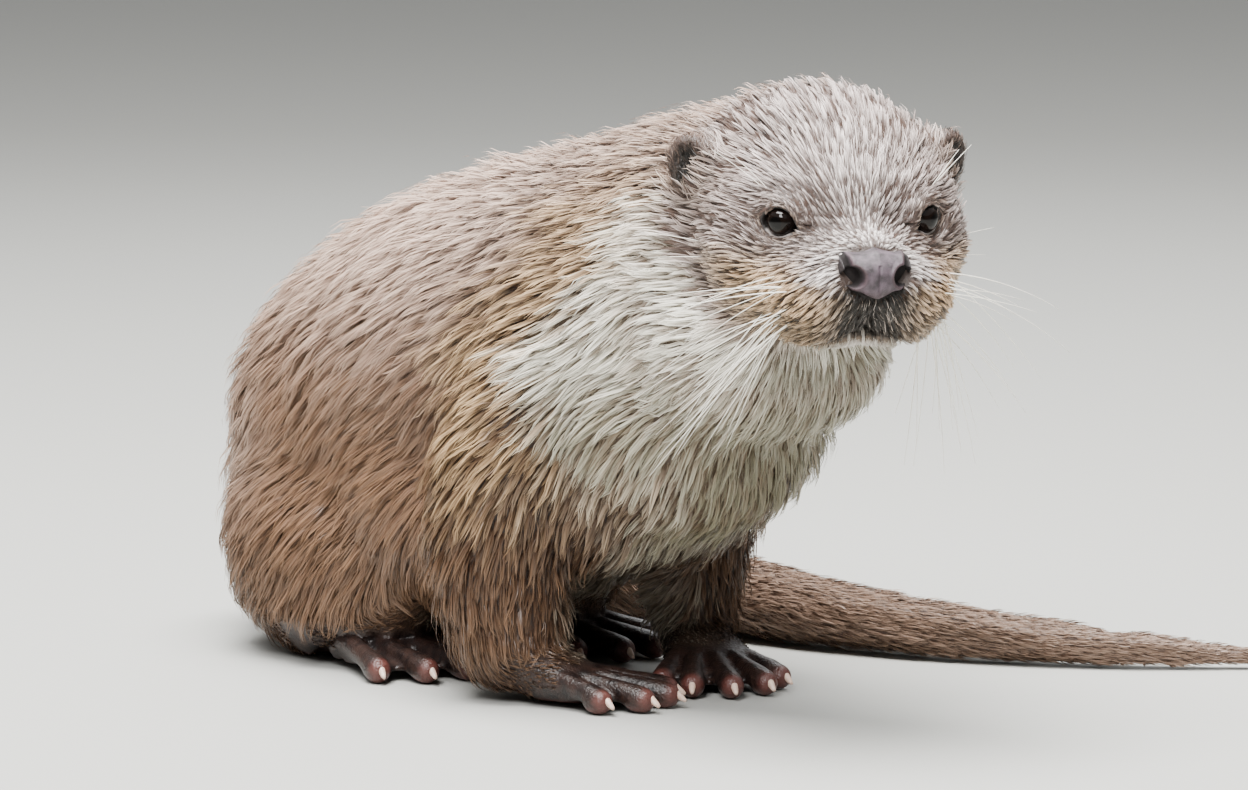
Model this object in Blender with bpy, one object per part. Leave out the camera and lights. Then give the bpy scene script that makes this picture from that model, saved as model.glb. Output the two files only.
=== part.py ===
# Eurasian river otter, life size, hunched on a flat floor with its tail curled round its left side.
#
# The animal faces -Y, its left side is +X and +Z is up. The solids are drawn out to the tips of the
# wet coat. The body is modelled whole from lofted masses, fused, and then parted with thin cuts.

import math

import bmesh
import bpy
import numpy as np
from mathutils import Matrix, Vector

# Driving dimensions, in metres and degrees.
GAP = 0.0003                    # clear space between neighbouring pieces
BODY_VOXEL = 0.0025             # grain at which the masses of the body are fused
FOOT_VOXEL = 0.0012             # the same for the feet
BODY_TRIANGLES = 3000
FOOT_TRIANGLES = 260
EAR_TRIANGLES = 170
NOSE_TRIANGLES = 150
EYES = Vector((-0.016, -0.170, 0.204))   # the origin of the head, midway between the eyes
HEAD_TURN = 23.0                # the head looks this far to the animal's right
HEAD_DIP = 6.0                  # and this far below level
EYE_RADIUS = 0.0065
EYE_DEPTH = 0.0034              # the middle of each eye lies this far under the surface
EYE_GAZE = 42.0                 # each eye looks this far out from straight ahead
EYE_SIGHT = (-0.022, 0.006, 0.0)         # where the line of sight of the left eye starts
NOSE_PLACE = (0.0380, 0.0, -0.0138)
NOSE_RADII = (0.0085, 0.0142, 0.0098)    # depth, half width, half height of the nose pad
NOSTRIL_PLACE = (0.0450, 0.0096, -0.0140)
NOSTRIL_RADII = (0.0042, 0.0034, 0.0042)
EAR_PLACE = (-0.050, 0.0520, 0.0140)
EAR_TURN = 38.0                 # the ears face this far out from straight ahead
EAR_RADII = (0.0050, 0.0100, 0.0115)
CUP_PLACE = (0.0050, 0.0, 0.0005)        # the hollow of the ear, in the frame of the ear
CUP_RADII = (0.0042, 0.0068, 0.0082)
FOOT_SINK = 0.0012              # how far the soles are pressed flat on the floor
SLEEVE = 0.008                  # how far the sleeves that part the tail stand clear of it
CLAW_LENGTH = 0.0075
CLAW_RADIUS = 0.0015

# Where the body is parted.
NAPE_CUT = (-0.042, 0.0, -0.010)         # a point on the cut behind the head, in the head's frame
NAPE_LEAN = -34.0
NECK_CUT = (0.0, -0.052, 0.150)          # a point on the cut between neck and chest
NECK_LEAN = -40.0
WAIST_CUT = 0.085                        # the rump starts behind this y
LEG_LEAN = 14.0                          # the cuts above the legs rise outwards by this angle
LEG_SPAN = (0.018, 0.055, 0.125)         # inner end, pivot and outer end of those cuts
LEG_CUTS = {"foreleg": (-0.070, 0.060, 0.072), "hindleg": (0.072, 0.260, 0.062)}    # y, y, height
TAIL_CUTS = (0.17, 0.38, 0.58, 0.78, 1.0)    # shares of the tail's length

# Spine of the trunk and neck: x, y, z of its middle, half width, half height.
TRUNK = (
    (0.000, 0.206, 0.066, 0.050, 0.050),
    (0.000, 0.182, 0.086, 0.067, 0.066),
    (0.000, 0.147, 0.103, 0.075, 0.077),
    (0.000, 0.100, 0.118, 0.077, 0.083),
    (0.000, 0.050, 0.132, 0.074, 0.083),
    (0.000, -0.005, 0.150, 0.069, 0.077),
    (0.002, -0.050, 0.172, 0.063, 0.068),
    (0.004, -0.088, 0.190, 0.058, 0.058),
)

# Tail from inside the rump to its tip: x, y, z of its middle, half width, half height.
TAIL = (
    (0.000, 0.165, 0.060, 0.044, 0.042),
    (0.016, 0.212, 0.037, 0.036, 0.033),
    (0.060, 0.228, 0.0255, 0.0285, 0.0260),
    (0.108, 0.188, 0.0215, 0.0240, 0.0220),
    (0.124, 0.118, 0.0188, 0.0208, 0.0192),
    (0.132, 0.046, 0.0160, 0.0176, 0.0163),
    (0.158, -0.022, 0.0125, 0.0135, 0.0127),
    (0.200, -0.078, 0.0088, 0.0093, 0.0090),
    (0.248, -0.115, 0.0052, 0.0052, 0.0052),
)

# Skull and muzzle along the head: distance ahead of the eyes, half width, top, bottom.
SKULL = (
    (0.021, 0.023, 0.001, -0.036),
    (0.008, 0.029, 0.009, -0.046),
    (-0.010, 0.040, 0.026, -0.052),
    (-0.030, 0.050, 0.040, -0.055),
    (-0.052, 0.056, 0.045, -0.056),
    (-0.078, 0.055, 0.040, -0.055),
)

# Rounded masses of the head on its left side, mirrored to the right: centre, radii.
HEAD_MASSES = (
    ((0.015, 0.0185, -0.0255), (0.024, 0.0195, 0.0175)),    # whisker pad
    ((0.006, 0.012, -0.037), (0.024, 0.020, 0.0125)),       # lower jaw
    ((-0.005, 0.0215, -0.026), (0.026, 0.0215, 0.0200)),    # corner of the mouth
    ((-0.026, 0.0255, -0.012), (0.034, 0.0285, 0.035)),     # cheek
)

# Rounded masses of the body on its left side, mirrored to the right: centre, radii.
BODY_MASSES = (
    ((0.012, -0.092, 0.152), (0.043, 0.050, 0.042)),    # throat
    ((0.010, -0.044, 0.118), (0.050, 0.052, 0.052)),    # breast
    ((0.018, -0.005, 0.100), (0.044, 0.058, 0.052)),    # chest between the shoulders
    ((0.044, 0.142, 0.048), (0.038, 0.070, 0.052)),     # haunch
    ((0.030, 0.080, 0.075), (0.046, 0.060, 0.048)),     # belly
)

# Forelegs from the shoulder to the wrist: x, y, z, radius.
FORELEGS = {
    "left": ((0.046, -0.008, 0.128, 0.032), (0.052, 0.010, 0.092, 0.031),
             (0.051, 0.021, 0.058, 0.027), (0.046, 0.016, 0.028, 0.022)),
    "right": ((-0.046, -0.012, 0.128, 0.034), (-0.054, 0.002, 0.092, 0.034),
              (-0.055, 0.010, 0.058, 0.031), (-0.052, 0.006, 0.028, 0.026)),
}

FOREPAW = {
    "length": 0.071,            # from the wrist to the tip of the longest toe
    "palm": 0.030,              # from the wrist to the roots of the toes
    "half_width": 0.0195,
    "height": 0.0145,
    "toe_radius": 0.0054,
    "spread": 56.0,             # between the first and the last toe
    "reach": (0.78, 0.95, 1.00, 0.95, 0.80),
    "web": 0.66,                # the webs end at this share of the toes
}

HINDFOOT = {
    "length": 0.118,
    "palm": 0.068,
    "half_width": 0.0200,
    "height": 0.0150,
    "toe_radius": 0.0056,
    "spread": 38.0,
    "reach": (0.80, 0.93, 1.00, 0.98, 0.90),
    "web": 0.80,
}

# Where each foot stands: the point under its wrist or heel, and how far it turns to the animal's left.
FEET = {
    "forepaw_left": (FOREPAW, (0.046, 0.012), -24.0),
    "forepaw_right": (FOREPAW, (-0.054, 0.002), 36.0),
    "hindfoot_left": (HINDFOOT, (0.045, 0.166), -3.0),
    "hindfoot_right": (HINDFOOT, (-0.045, 0.166), 3.0),
}

COLOURS = {
    "brown_fur": ((0.245, 0.135, 0.090), 0.75),
    "grey_fur": ((0.330, 0.245, 0.215), 0.75),
    "cream_fur": ((0.560, 0.520, 0.430), 0.80),
    "bare_paw": ((0.050, 0.028, 0.026), 0.45),
    "nose_skin": ((0.200, 0.140, 0.150), 0.40),
    "eye": ((0.010, 0.008, 0.007), 0.08),
    "claw": ((0.520, 0.400, 0.310), 0.35),
}


def clear_scene():
    for old in list(bpy.data.objects):
        bpy.data.objects.remove(old)


def through(knots, count):
    """Rows read from a smooth curve that passes through every knot."""
    rows = np.array(knots, float)
    ends = np.vstack([2 * rows[0] - rows[1], rows, 2 * rows[-1] - rows[-2]])
    result = []
    for place in np.linspace(0.0, len(rows) - 1.0, count):
        i = min(int(place), len(rows) - 2)
        t = place - i
        a, b, c, d = ends[i:i + 4]
        result.append(0.5 * (2 * b + (c - a) * t + (2 * a - 5 * b + 4 * c - d) * t ** 2
                             + (3 * b - a - 3 * c + d) * t ** 3))
    return result


def add_tube(shape, knots, count, sides=24, up=(0.0, 0.0, 1.0), round_ends=True):
    """A closed tube of oval rings through knots of x, y, z, half width, half height."""
    rows = through(knots, count)
    middles = [Vector(row[:3]) for row in rows]
    rings = []
    for i, row in enumerate(rows):
        along = (middles[min(i + 1, count - 1)] - middles[max(i - 1, 0)]).normalized()
        side = along.cross(Vector(up)).normalized()
        rings.append((middles[i], side * row[3], side.cross(along) * row[4], along))
    if round_ends:
        rings = rounded(rings[0], -1) + rings + rounded(rings[-1], 1)
    loops = []
    for middle, side, rise, _ in rings:
        loop = []
        for k in range(sides):
            angle = 2 * math.pi * k / sides
            loop.append(shape.verts.new(middle + side * math.cos(angle) + rise * math.sin(angle)))
        loops.append(loop)
    for near, far in zip(loops, loops[1:]):
        for k in range(sides):
            shape.faces.new((near[k], near[(k + 1) % sides], far[(k + 1) % sides], far[k]))
    shape.faces.new(loops[0][::-1])
    shape.faces.new(loops[-1])


def rounded(ring, direction):
    """Shrinking rings that close a tube with a rounded end."""
    middle, side, rise, along = ring
    depth = min(side.length, rise.length) * direction
    caps = []
    for degrees in (30.0, 55.0, 75.0):
        turn = math.radians(degrees)
        shift = along * depth * math.sin(turn)
        caps.append((middle + shift, side * math.cos(turn), rise * math.cos(turn), along))
    return caps if direction > 0 else caps[::-1]


def add_ball(shape, centre, radii, place=Matrix.Identity(4), fineness=3):
    """An ellipsoid with its axes along those of place."""
    matrix = place @ Matrix.Translation(centre) @ Matrix.Diagonal((*radii, 1.0))
    bmesh.ops.create_icosphere(shape, subdivisions=fineness, radius=1.0, matrix=matrix)


def sided(centre, side):
    """A place on the left of the head, or with side -1 the same place on its right."""
    return (centre[0], side * centre[1], centre[2])


def solid(name, shape):
    """Makes an object of a bmesh, in flat triangles with every face pointing out."""
    bmesh.ops.recalc_face_normals(shape, faces=shape.faces)
    bmesh.ops.triangulate(shape, faces=shape.faces)
    mesh = bpy.data.meshes.new(name)
    shape.to_mesh(mesh)
    shape.free()
    made = bpy.data.objects.new(name, mesh)
    bpy.context.scene.collection.objects.link(made)
    return made


def settle(obj):
    """Replaces the mesh by the one that the modifiers make of it."""
    graph = bpy.context.evaluated_depsgraph_get()
    mesh = bpy.data.meshes.new_from_object(obj.evaluated_get(graph))
    obj.modifiers.clear()
    obj.data = mesh


def fuse(obj, voxel, smoothing, soft=None):
    """Melts overlapping masses into one skin and softens where they meet, most where soft is 1."""
    remesh = obj.modifiers.new("fuse", "REMESH")
    remesh.mode = "VOXEL"
    remesh.voxel_size = voxel
    settle(obj)
    soften = obj.modifiers.new("soften", "SMOOTH")
    soften.factor = 0.5
    soften.iterations = smoothing
    if soft:
        soften.vertex_group = weigh(obj, soft)
    settle(obj)
    obj.vertex_groups.clear()


def weigh(obj, weight):
    """A vertex group with the weight that a function gives each point."""
    group = obj.vertex_groups.new(name="weight")
    for vertex in obj.data.vertices:
        group.add((vertex.index,), weight(vertex.co), "REPLACE")
    return group.name


def thin_out(obj, triangles, fine=None):
    """Reduces the mesh to about so many triangles, keeping it denser where fine is above 0."""
    thin = obj.modifiers.new("thin", "DECIMATE")
    thin.ratio = triangles / sum(len(face.vertices) - 2 for face in obj.data.polygons)
    thin.use_collapse_triangulate = True
    if fine:
        thin.vertex_group = weigh(obj, fine)
        thin.vertex_group_factor = 3.0
        thin.invert_vertex_group = True
    settle(obj)
    obj.vertex_groups.clear()


def combine(target, other, operation):
    """Applies an exact Boolean of the other object to the target."""
    step = target.modifiers.new("combine", "BOOLEAN")
    step.operation = operation
    step.solver = "EXACT"
    step.object = other
    settle(target)


def grown(obj, distance):
    """A copy of the object with its surface moved out by a distance."""
    shape = bmesh.new()
    shape.from_mesh(obj.data)
    shape.normal_update()
    moves = [vertex.normal * distance for vertex in shape.verts]
    for vertex, move in zip(shape.verts, moves):
        vertex.co += move
    return solid(obj.name + "_grown", shape)


def discard(*tools):
    for tool in tools:
        bpy.data.objects.remove(tool)


def drop_crumbs(obj):
    """Keeps the largest of the bodies that a cut has left."""
    shape = bmesh.new()
    shape.from_mesh(obj.data)
    waiting = set(shape.verts)
    bodies = []
    while waiting:
        body = {waiting.pop()}
        rim = list(body)
        while rim:
            vertex = rim.pop()
            near = {link.other_vert(vertex) for link in vertex.link_edges} - body
            body |= near
            rim.extend(near)
        waiting -= body
        bodies.append(body)
    bodies.sort(key=len)
    bmesh.ops.delete(shape, geom=[vertex for body in bodies[:-1] for vertex in body], context="VERTS")
    shape.to_mesh(obj.data)
    shape.free()


def take(whole, zone, name):
    """Parts the piece that lies in the zone from the whole, leaving the gap between them."""
    piece = whole.copy()
    piece.data = whole.data.copy()
    piece.name = name
    bpy.context.scene.collection.objects.link(piece)
    combine(piece, zone, "INTERSECT")
    wider = grown(zone, GAP)
    combine(whole, wider, "DIFFERENCE")
    discard(zone, wider)
    drop_crumbs(piece)
    drop_crumbs(whole)
    return piece


def trim(piece, *neighbours):
    """Cuts a piece back to clear its neighbours by the gap."""
    for neighbour in neighbours:
        wider = grown(neighbour, GAP)
        combine(piece, wider, "DIFFERENCE")
        discard(wider)
    drop_crumbs(piece)


def block(name, low, high, turn=None, pivot=(0.0, 0.0, 0.0)):
    """A box between two corners, turned about a pivot."""
    low, high = Vector(low), Vector(high)
    size = high - low
    matrix = Matrix.Translation((low + high) / 2) @ Matrix.Diagonal((*size, 1.0))
    if turn:
        matrix = Matrix.Translation(pivot) @ turn @ Matrix.Translation(-Vector(pivot)) @ matrix
    shape = bmesh.new()
    bmesh.ops.create_cube(shape, size=1.0, matrix=matrix)
    return solid(name, shape)


def flatten_base(obj):
    """Cuts away what lies below the floor, which leaves the small flats the animal rests on."""
    below = block("below", (-1.0, -1.0, -1.0), (1.0, 1.0, 0.0))
    combine(obj, below, "DIFFERENCE")
    discard(below)


def paint(obj, finish):
    """Gives an object the material of that name."""
    material = bpy.data.materials.get(finish)
    if not material:
        material = bpy.data.materials.new(finish)
        material.use_nodes = True
        colour, roughness = COLOURS[finish]
        shader = material.node_tree.nodes["Principled BSDF"]
        shader.inputs["Base Color"].default_value = (*colour, 1.0)
        shader.inputs["Roughness"].default_value = roughness
        shader.inputs["Metallic"].default_value = 0.0
    obj.data.materials.clear()
    obj.data.materials.append(material)
    obj.data.shade_smooth()
    obj.data.set_sharp_from_angle(angle=math.radians(40.0))


def head_place():
    """The frame of the head: x ahead, y to its left, z up, with its origin midway between the eyes."""
    turn = Matrix.Rotation(math.radians(-90.0 - HEAD_TURN), 4, "Z")
    dip = Matrix.Rotation(math.radians(HEAD_DIP), 4, "Y")
    return Matrix.Translation(EYES) @ turn @ dip


def make_body():
    """Trunk, neck, head, legs and tail in one skin."""
    shape = bmesh.new()
    add_tube(shape, TRUNK, 28)
    add_tube(shape, TAIL, 60)
    for centre, radii in BODY_MASSES:
        for side in (1, -1):
            add_ball(shape, (side * centre[0], centre[1], centre[2]), radii)
    for leg in FORELEGS.values():
        add_tube(shape, [(*row, row[3]) for row in leg], 14, up=(0.0, 1.0, 0.0))
    add_head(shape)
    body = solid("body", shape)
    fuse(body, BODY_VOXEL, 18, soft_where)
    thin_out(body, BODY_TRIANGLES, fine_where)
    flatten_base(body)
    return body


def add_head(shape):
    place = head_place()
    up = place.to_3x3() @ Vector((0.0, 0.0, 1.0))
    knots = []
    for ahead, half_width, top, bottom in SKULL:
        middle = place @ Vector((ahead, 0.0, (top + bottom) / 2))
        knots.append((*middle, half_width, (top - bottom) / 2))
    add_tube(shape, knots, 24, up=up)
    for centre, radii in HEAD_MASSES:
        for side in (1, -1):
            add_ball(shape, sided(centre, side), radii, place)


def make_eye(name, side, body):
    """An eyeball set under the surface of the face, where a line of sight leaves it."""
    place = head_place()
    gaze = Matrix.Rotation(math.radians(side * EYE_GAZE), 4, "Z")
    start = place @ Vector(sided(EYE_SIGHT, side))
    sight = place.to_3x3() @ gaze.to_3x3() @ Vector((1.0, 0.0, 0.0))
    _, surface, _, _ = body.ray_cast(start, sight)
    shape = bmesh.new()
    add_ball(shape, surface - sight * EYE_DEPTH, (EYE_RADIUS,) * 3, fineness=2)
    eye = solid(name, shape)
    paint(eye, "eye")
    return eye


def make_nose():
    """A broad pad with a nostril hollowed in each side."""
    place = head_place()
    shape = bmesh.new()
    add_ball(shape, NOSE_PLACE, NOSE_RADII, place)
    nose = solid("nose_pad", shape)
    for side in (1, -1):
        cutter = bmesh.new()
        add_ball(cutter, sided(NOSTRIL_PLACE, side), NOSTRIL_RADII, place)
        nostril = solid("nostril", cutter)
        combine(nose, nostril, "DIFFERENCE")
        discard(nostril)
    thin_out(nose, NOSE_TRIANGLES)
    paint(nose, "nose_skin")
    return nose


def make_ear(name, side):
    """A small rounded ear, cupped towards the front."""
    out = Matrix.Rotation(math.radians(side * EAR_TURN), 4, "Z")
    place = head_place() @ Matrix.Translation(sided(EAR_PLACE, side)) @ out
    shape = bmesh.new()
    add_ball(shape, (0.0, 0.0, 0.0), EAR_RADII, place)
    ear = solid(name, shape)
    hollow = bmesh.new()
    add_ball(hollow, CUP_PLACE, CUP_RADII, place)
    cup = solid("cup", hollow)
    combine(ear, cup, "DIFFERENCE")
    discard(cup)
    thin_out(ear, EAR_TRIANGLES)
    paint(ear, "brown_fur")
    return ear


def toe_tips(foot):
    """For each toe, its bearing and the distance from the heel to its tip."""
    half = math.radians(foot["spread"]) / 2
    for k, reach in enumerate(foot["reach"]):
        yield half * (k - 2) / 2, foot["length"] * reach


def polar(bearing, distance, height):
    return (distance * math.cos(bearing), distance * math.sin(bearing), height)


def make_foot(name, foot, heel, turn, side):
    """A webbed foot with five toes, in a frame with x towards the toes."""
    place = foot_place(heel, turn, side)
    up = place.to_3x3() @ Vector((0.0, 0.0, 1.0))
    thick, palm, radius = foot["height"], foot["palm"], foot["toe_radius"]
    shape = bmesh.new()
    sole = [(-0.004, 0.0, thick * 1.5, 0.012, thick * 0.9),
            (palm * 0.4, 0.0, thick * 0.95, foot["half_width"] * 0.82, thick * 0.9),
            (palm, 0.0, thick * 0.62, foot["half_width"], thick * 0.62)]
    add_tube(shape, moved(sole, place), 10, sides=20, up=up)
    toes = list(toe_tips(foot))
    for bearing, tip in toes:
        root = palm * 0.8
        bend = (root + tip) / 2
        knots = [(*polar(bearing, root, radius * 1.5), radius * 1.15, radius * 1.15),
                 (*polar(bearing, bend, radius * 1.75), radius, radius),
                 (*polar(bearing, tip - radius * 1.6, radius * 1.05), radius * 0.92, radius * 0.92),
                 (*polar(bearing, tip - radius, radius), radius * 0.96, radius * 0.96)]
        add_tube(shape, moved(knots, place), 12, sides=12, up=up)
    for (left, near), (right, far) in zip(toes, toes[1:]):
        end = (near + far) / 2 * foot["web"]
        bearing = (left + right) / 2
        knots = [(*polar(bearing, palm * 0.8, radius * 1.1), radius * 1.3, radius * 0.7),
                 (*polar(bearing, end, radius * 0.8), radius * 1.3, radius * 0.4)]
        add_tube(shape, moved(knots, place), 6, sides=12, up=up)
    made = solid(name, shape)
    fuse(made, FOOT_VOXEL, 3)
    thin_out(made, FOOT_TRIANGLES)
    made.data.transform(Matrix.Translation((0.0, 0.0, -FOOT_SINK)))
    flatten_base(made)
    paint(made, "bare_paw")
    return made


def foot_place(heel, turn, side):
    """The frame of a foot: x towards the toes, y across them from the first toe to the last."""
    spin = Matrix.Rotation(math.radians(turn - 90.0), 4, "Z")
    flip = Matrix.Diagonal((1.0, side, 1.0, 1.0))
    return Matrix.Translation((*heel, 0.0)) @ spin @ flip


def moved(knots, place):
    """The knots of a tube, carried into another frame."""
    return [(*(place @ Vector(knot[:3])), *knot[3:]) for knot in knots]


def make_claw(name, foot, place, bearing, tip):
    """A short claw that leaves the top of the toe and curves down in front of it."""
    start = tip - foot["toe_radius"] * 0.9
    high = foot["toe_radius"] * 1.25
    up = place.to_3x3() @ Vector((0.0, 0.0, 1.0))
    knots = [(*polar(bearing, start, high), CLAW_RADIUS, CLAW_RADIUS),
             (*polar(bearing, start + CLAW_LENGTH * 0.5, high * 0.92), CLAW_RADIUS * 0.8,
              CLAW_RADIUS * 0.85),
             (*polar(bearing, start + CLAW_LENGTH, high * 0.48), CLAW_RADIUS * 0.28,
              CLAW_RADIUS * 0.32)]
    shape = bmesh.new()
    add_tube(shape, moved(knots, place), 3, sides=6, up=up, round_ends=False)
    claw = solid(name, shape)
    paint(claw, "claw")
    return claw


def tail_zone(first, last):
    """A fat sleeve round the tail between two shares of its length."""
    count = 60
    rows = through(TAIL, count)[int(first * count):int(last * count) + 1]
    knots = [(*row[:3], row[3] + SLEEVE, row[4] + SLEEVE) for row in rows]
    shape = bmesh.new()
    add_tube(shape, knots, len(knots), sides=16, round_ends=False)
    return solid("tail_zone", shape)


def fine_where(point):
    """Weight of detail when the body is thinned out: the head is kept finest."""
    head = max(0.0, 1.0 - (point - EYES).length / 0.11)
    return min(1.0, 0.25 + 0.6 * head)


def soft_where(point):
    """Weight of softening: full on head and trunk, little on the thin end of the tail."""
    thinness = min(1.0, max(0.0, (0.035 - point.z) / 0.025))
    return 1.0 - 0.85 * thinness


def part_legs(body):
    """The lower legs, each parted from the body by a slanted block."""
    pieces = []
    inner, pivot, outer = LEG_SPAN
    for side, word in ((1, "left"), (-1, "right")):
        low, high = sorted((side * inner, side * outer))
        tilt = Matrix.Rotation(math.radians(-side * LEG_LEAN), 4, "Y")
        for leg, (front, back, top) in LEG_CUTS.items():
            zone = block("zone", (low, front, -0.02), (high, back, top), tilt,
                         (side * pivot, 0.0, top))
            pieces.append(take(body, zone, f"{leg}_{word}"))
    return pieces


def part_tail(body):
    """Four lengths of the tail, from the rump to the tip."""
    pieces = []
    for k in (3, 2, 1, 0):
        zone = tail_zone(TAIL_CUTS[k], TAIL_CUTS[k + 1])
        pieces.append(take(body, zone, f"tail_{k + 1}"))
    return pieces


def part_head(body):
    """Head and neck, parted across the way the neck runs."""
    place = head_place()
    lean = Matrix.Rotation(math.radians(NAPE_LEAN), 4, "Y")
    zone = block("zone", (0.0, -0.2, -0.2), (0.3, 0.2, 0.2))
    zone.data.transform(place @ Matrix.Translation(NAPE_CUT) @ lean)
    head = take(body, zone, "head")
    lean = Matrix.Rotation(math.radians(NECK_LEAN), 4, "X")
    zone = block("zone", (-0.2, -0.3, -0.3), (0.2, 0.0, 0.3), lean)
    zone.data.transform(Matrix.Translation(NECK_CUT))
    neck = take(body, zone, "neck")
    return [head, neck]


def part_trunk(body):
    """The rump, parted from the chest at the waist."""
    zone = block("zone", (-0.2, WAIST_CUT, -0.1), (0.2, 0.4, 0.4))
    rump = take(body, zone, "rump")
    body.name = "chest"
    return [rump, body]


def make_feet(neighbours):
    """Four feet with their claws."""
    for name, (foot, heel, turn) in FEET.items():
        side = 1 if name.endswith("left") else -1
        made = make_foot(name, foot, heel, turn, side)
        place = foot_place(heel, turn, side)
        claws = []
        for k, (bearing, tip) in enumerate(toe_tips(foot)):
            claws.append(make_claw(f"claw_{name}_{k + 1}", foot, place, bearing, tip))
        trim(made, *neighbours[name], *claws)


def centre_on_floor():
    """Moves the whole animal so that the origin is the middle of its base."""
    low, high = Vector((1e9,) * 3), Vector((-1e9,) * 3)
    for obj in bpy.data.objects:
        for vertex in obj.data.vertices:
            low = Vector(map(min, low, vertex.co))
            high = Vector(map(max, high, vertex.co))
    middle = (low + high) / 2
    for obj in bpy.data.objects:
        obj.data.transform(Matrix.Translation((-middle.x, -middle.y, -low.z)))


def main():
    clear_scene()
    body = make_body()
    eyes = [make_eye("eye_left", 1, body), make_eye("eye_right", -1, body)]
    trim(body, *eyes)
    ears = [make_ear("ear_left", 1), make_ear("ear_right", -1)]
    nose = make_nose()
    for piece in (*ears, nose):
        trim(piece, body)
    tail = part_tail(body)
    legs = part_legs(body)
    head = part_head(body)
    trunk = part_trunk(body)
    for piece in (*tail, *legs, *trunk):
        paint(piece, "brown_fur")
    paint(head[0], "grey_fur")
    paint(head[1], "cream_fur")
    left = [legs[0], legs[1], *trunk]
    right = [legs[2], legs[3], *trunk]
    make_feet({"forepaw_left": left, "hindfoot_left": left,
               "forepaw_right": right, "hindfoot_right": right})
    centre_on_floor()


main()
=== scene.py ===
import math

import bmesh
import bpy
import numpy as np
from mathutils import Matrix, Vector, noise
from mathutils.bvhtree import BVHTree
from mathutils.kdtree import KDTree


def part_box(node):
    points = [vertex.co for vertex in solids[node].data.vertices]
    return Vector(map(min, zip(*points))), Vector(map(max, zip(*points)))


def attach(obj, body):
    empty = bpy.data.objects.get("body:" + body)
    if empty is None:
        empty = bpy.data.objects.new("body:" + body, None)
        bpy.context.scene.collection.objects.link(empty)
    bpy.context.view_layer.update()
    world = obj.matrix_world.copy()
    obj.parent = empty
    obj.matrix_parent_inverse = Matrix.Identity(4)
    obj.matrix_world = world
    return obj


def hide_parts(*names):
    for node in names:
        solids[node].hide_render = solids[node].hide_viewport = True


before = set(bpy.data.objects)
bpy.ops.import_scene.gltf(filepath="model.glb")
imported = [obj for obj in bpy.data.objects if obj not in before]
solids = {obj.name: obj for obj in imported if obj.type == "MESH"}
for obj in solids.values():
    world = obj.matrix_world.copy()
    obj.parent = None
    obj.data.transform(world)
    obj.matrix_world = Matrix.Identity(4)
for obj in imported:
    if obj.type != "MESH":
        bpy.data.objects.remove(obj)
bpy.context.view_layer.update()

# A wet river otter, life size, hunched on a plain floor. It faces -y, its left is +x and z is up.
# One skin lies inside the solids by the depth of the coat, and thin pointed strands, drawn together
# into wet locks, lie over it. Lengths are in metres unless a comment says otherwise.

rng = np.random.default_rng(11)


def middle(node):
    low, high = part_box(node)
    return (low + high) / 2


def spotOf(node):
    return np.array(middle(node))


# The frame of the head: x ahead, y to its left, z up, from the point midway between the eyes.
noseDrop = 0.0138    # the nose pad lies this far below the line of the eyes
nose = {
    "middle": np.array([0.0362, 0.0, -noseDrop]),    # in the head's frame
    "halfWidth": 0.0142,
    "halfHeight": 0.0098,
}
eyesMiddle = (middle("eye_left") + middle("eye_right")) / 2


def headAxes():
    left = (middle("eye_left") - middle("eye_right")).normalized()
    toNose = middle("nose_pad") - eyesMiddle
    toNose -= left * toNose.dot(left)
    rise = toNose.cross(left).normalized()
    tilt = math.asin(noseDrop / toNose.length)
    ahead = toNose.normalized() * math.cos(tilt) + rise * math.sin(tilt)
    return np.array([ahead, left, ahead.cross(left)])


headTurn = headAxes()
headOrigin = np.array(eyesMiddle)
middlePlane = middle("rump").x    # the plane that the trunk is symmetric about


def toHead(places):
    return (np.asarray(places) - headOrigin) @ headTurn.T


def fromHead(places):
    return np.asarray(places) @ headTurn + headOrigin


def headVector(vectors):
    return np.asarray(vectors) @ headTurn


# Small tools

def ease(low, high, value):    # 0 below low, 1 above high, smooth between, or falling where high < low
    t = np.clip((value - low) / (high - low), 0.0, 1.0)
    return t * t * (3 - 2 * t)


def bell(distance, width):    # 1 at no distance, 0.37 at the width given
    return np.exp(-(distance / width) ** 2)


def read(table, value):    # a value read from pairs, straight between them
    return np.interp(value, *zip(*table))


def unit(vectors):
    return vectors / np.maximum(np.linalg.norm(vectors, axis=-1, keepdims=True), 1e-12)


def flatten(vectors, normals):    # the part of each vector that lies in the surface
    return vectors - normals * np.sum(vectors * normals, axis=1, keepdims=True)


def points(mesh):
    flat = np.empty(len(mesh.vertices) * 3)
    mesh.vertices.foreach_get("co", flat)
    return flat.reshape(-1, 3)


def setPoints(mesh, places):
    mesh.vertices.foreach_set("co", np.asarray(places, float).ravel())
    mesh.update()


def vertexNormals(mesh):
    flat = np.empty(len(mesh.vertices) * 3, np.float32)
    mesh.vertex_normals.foreach_get("vector", flat)
    return flat.reshape(-1, 3).astype(float)


def edgeList(mesh):
    flat = np.empty(len(mesh.edges) * 2, np.int32)
    mesh.edges.foreach_get("vertices", flat)
    return flat.reshape(-1, 2)


def neighbourMean(values, edges):    # the mean of the points that share an edge with each
    near, far = edges[:, 0], edges[:, 1]
    count = np.bincount(edges.ravel(), minlength=len(values))
    total = np.empty_like(values)
    for k in range(values.shape[1]):
        total[:, k] = (np.bincount(near, values[far, k], len(values))
                       + np.bincount(far, values[near, k], len(values)))
    return total / np.maximum(count, 1)[:, None]


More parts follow.
